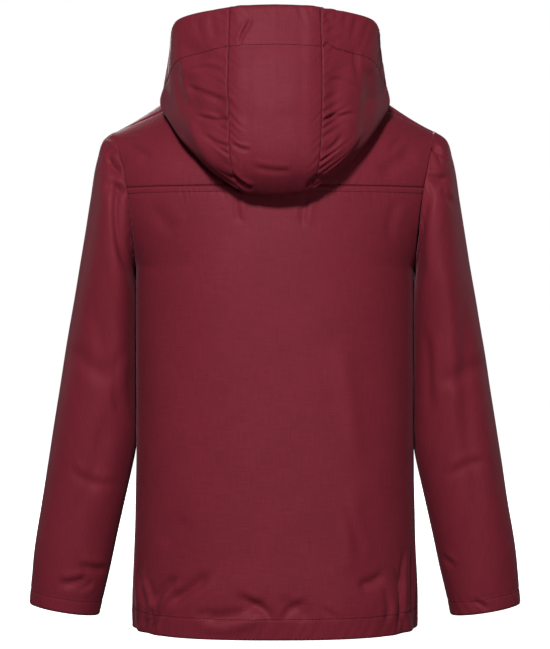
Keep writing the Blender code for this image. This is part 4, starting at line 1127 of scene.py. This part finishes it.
def moulded(name, colour, roughness, metallic, grain):
    """Plastic or painted metal, with a faint unevenness in its gloss and colour."""
    made = material(name, {"Metallic": metallic})
    tree = made.node_tree
    place = node(tree, "ShaderNodeTexCoord", {}).outputs["Object"]
    speck = node(tree, "ShaderNodeTexNoise", {"Scale": grain, "Detail": 3.0, "Vector": place}).outputs["Fac"]
    shade = node(tree, "ShaderNodeValToRGB", {"Fac": speck})
    for element, level in zip(shade.color_ramp.elements, (0.8, 1.2)):
        element.color = (*(c * level for c in colour), 1.0)
    gloss = node(tree, "ShaderNodeMapRange", {
        "To Min": roughness - SMOOTHER, "To Max": roughness + ROUGHER, "Value": speck,
    })
    rough = node(tree, "ShaderNodeBump", {"Strength": 0.3, "Distance": GRAIN_DEPTH, "Height": speck})
    surface = {"Base Color": shade.outputs["Color"], "Normal": rough.outputs["Normal"]}
    feed(tree, tree.nodes["Principled BSDF"], {**surface, "Roughness": gloss.outputs["Result"]})
    return made


tape_cloth = cloth_material("zip_tape_weave", TAPE_COLOUR, shade=0.2, crinkle=0.0001)
tooth_plastic = moulded("zip_plastic", TOOTH_COLOUR, 0.38, 0.0, 900.0)
painted_metal = moulded("zip_metal", METAL_COLOUR, 0.32, 1.0, 700.0)

tape_heights = np.linspace(TAPE_END, zip_run[-1] - TAPE_END, TAPE_ROWS)[:, None]
tape_widths, tape_depths = np.array(TAPE_SECTION).T
for side, name in ((1, "left"), (-1, "right")):
    tape = zip_points(tape_heights, side * tape_widths, tape_depths)
    piece = lofts("zip_tape_weave_" + name, [tape], tape_cloth)
    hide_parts("zip_tape_" + name)

chain_depth = (CHAIN_FRONT + CHAIN_BACK) / 2.0
chain_thickness = CHAIN_BACK - CHAIN_FRONT
teeth = [
    [
        [
            zip_points(at + up * half, side * x, chain_depth - deep * thick * chain_thickness)
            for up, deep in TOOTH_CORNERS
        ]
        for x, half, thick in TOOTH_RINGS
    ]
    for side, start in ((1, CHAIN_START), (-1, CHAIN_START + TOOTH_PITCH / 2.0))
    for at in np.arange(start, zip_run[-1] - CHAIN_STOP, TOOTH_PITCH)
]
zip_teeth = lofts("zip_teeth", teeth, tooth_plastic)
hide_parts("zip_chain")

for name, node_name, finish, slot, body, rounding in (
    ("zip_slider_body", "zip_slider", painted_metal, "zip_metal", "jacket", 0.35),
    ("zip_slider_loop", "zip_bail", painted_metal, "zip_metal", "jacket", 0.25),
    ("zip_pull_tab", "zip_pull", painted_metal, "zip_metal", "pull_tab", 0.3),
    ("zip_box", "zip_retainer", tooth_plastic, "zip_plastic", "jacket", 0.5),
):
    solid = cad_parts[node_name]
    mesh = bmesh.new()
    mesh.from_mesh(solid.data)
    mesh.transform(solid.matrix_world)
    bmesh.ops.remove_doubles(mesh, verts=mesh.verts, dist=JOINED)
    bmesh.ops.dissolve_limit(mesh, angle_limit=FLAT_ANGLE, verts=mesh.verts, edges=mesh.edges)
    piece = placed(name, mesh, finish, body)
    edges = piece.modifiers.new("rounded_edges", "BEVEL")
    edges.width = rounding * MM
    edges.segments = 3
    edges.harden_normals = True
    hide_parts(node_name)
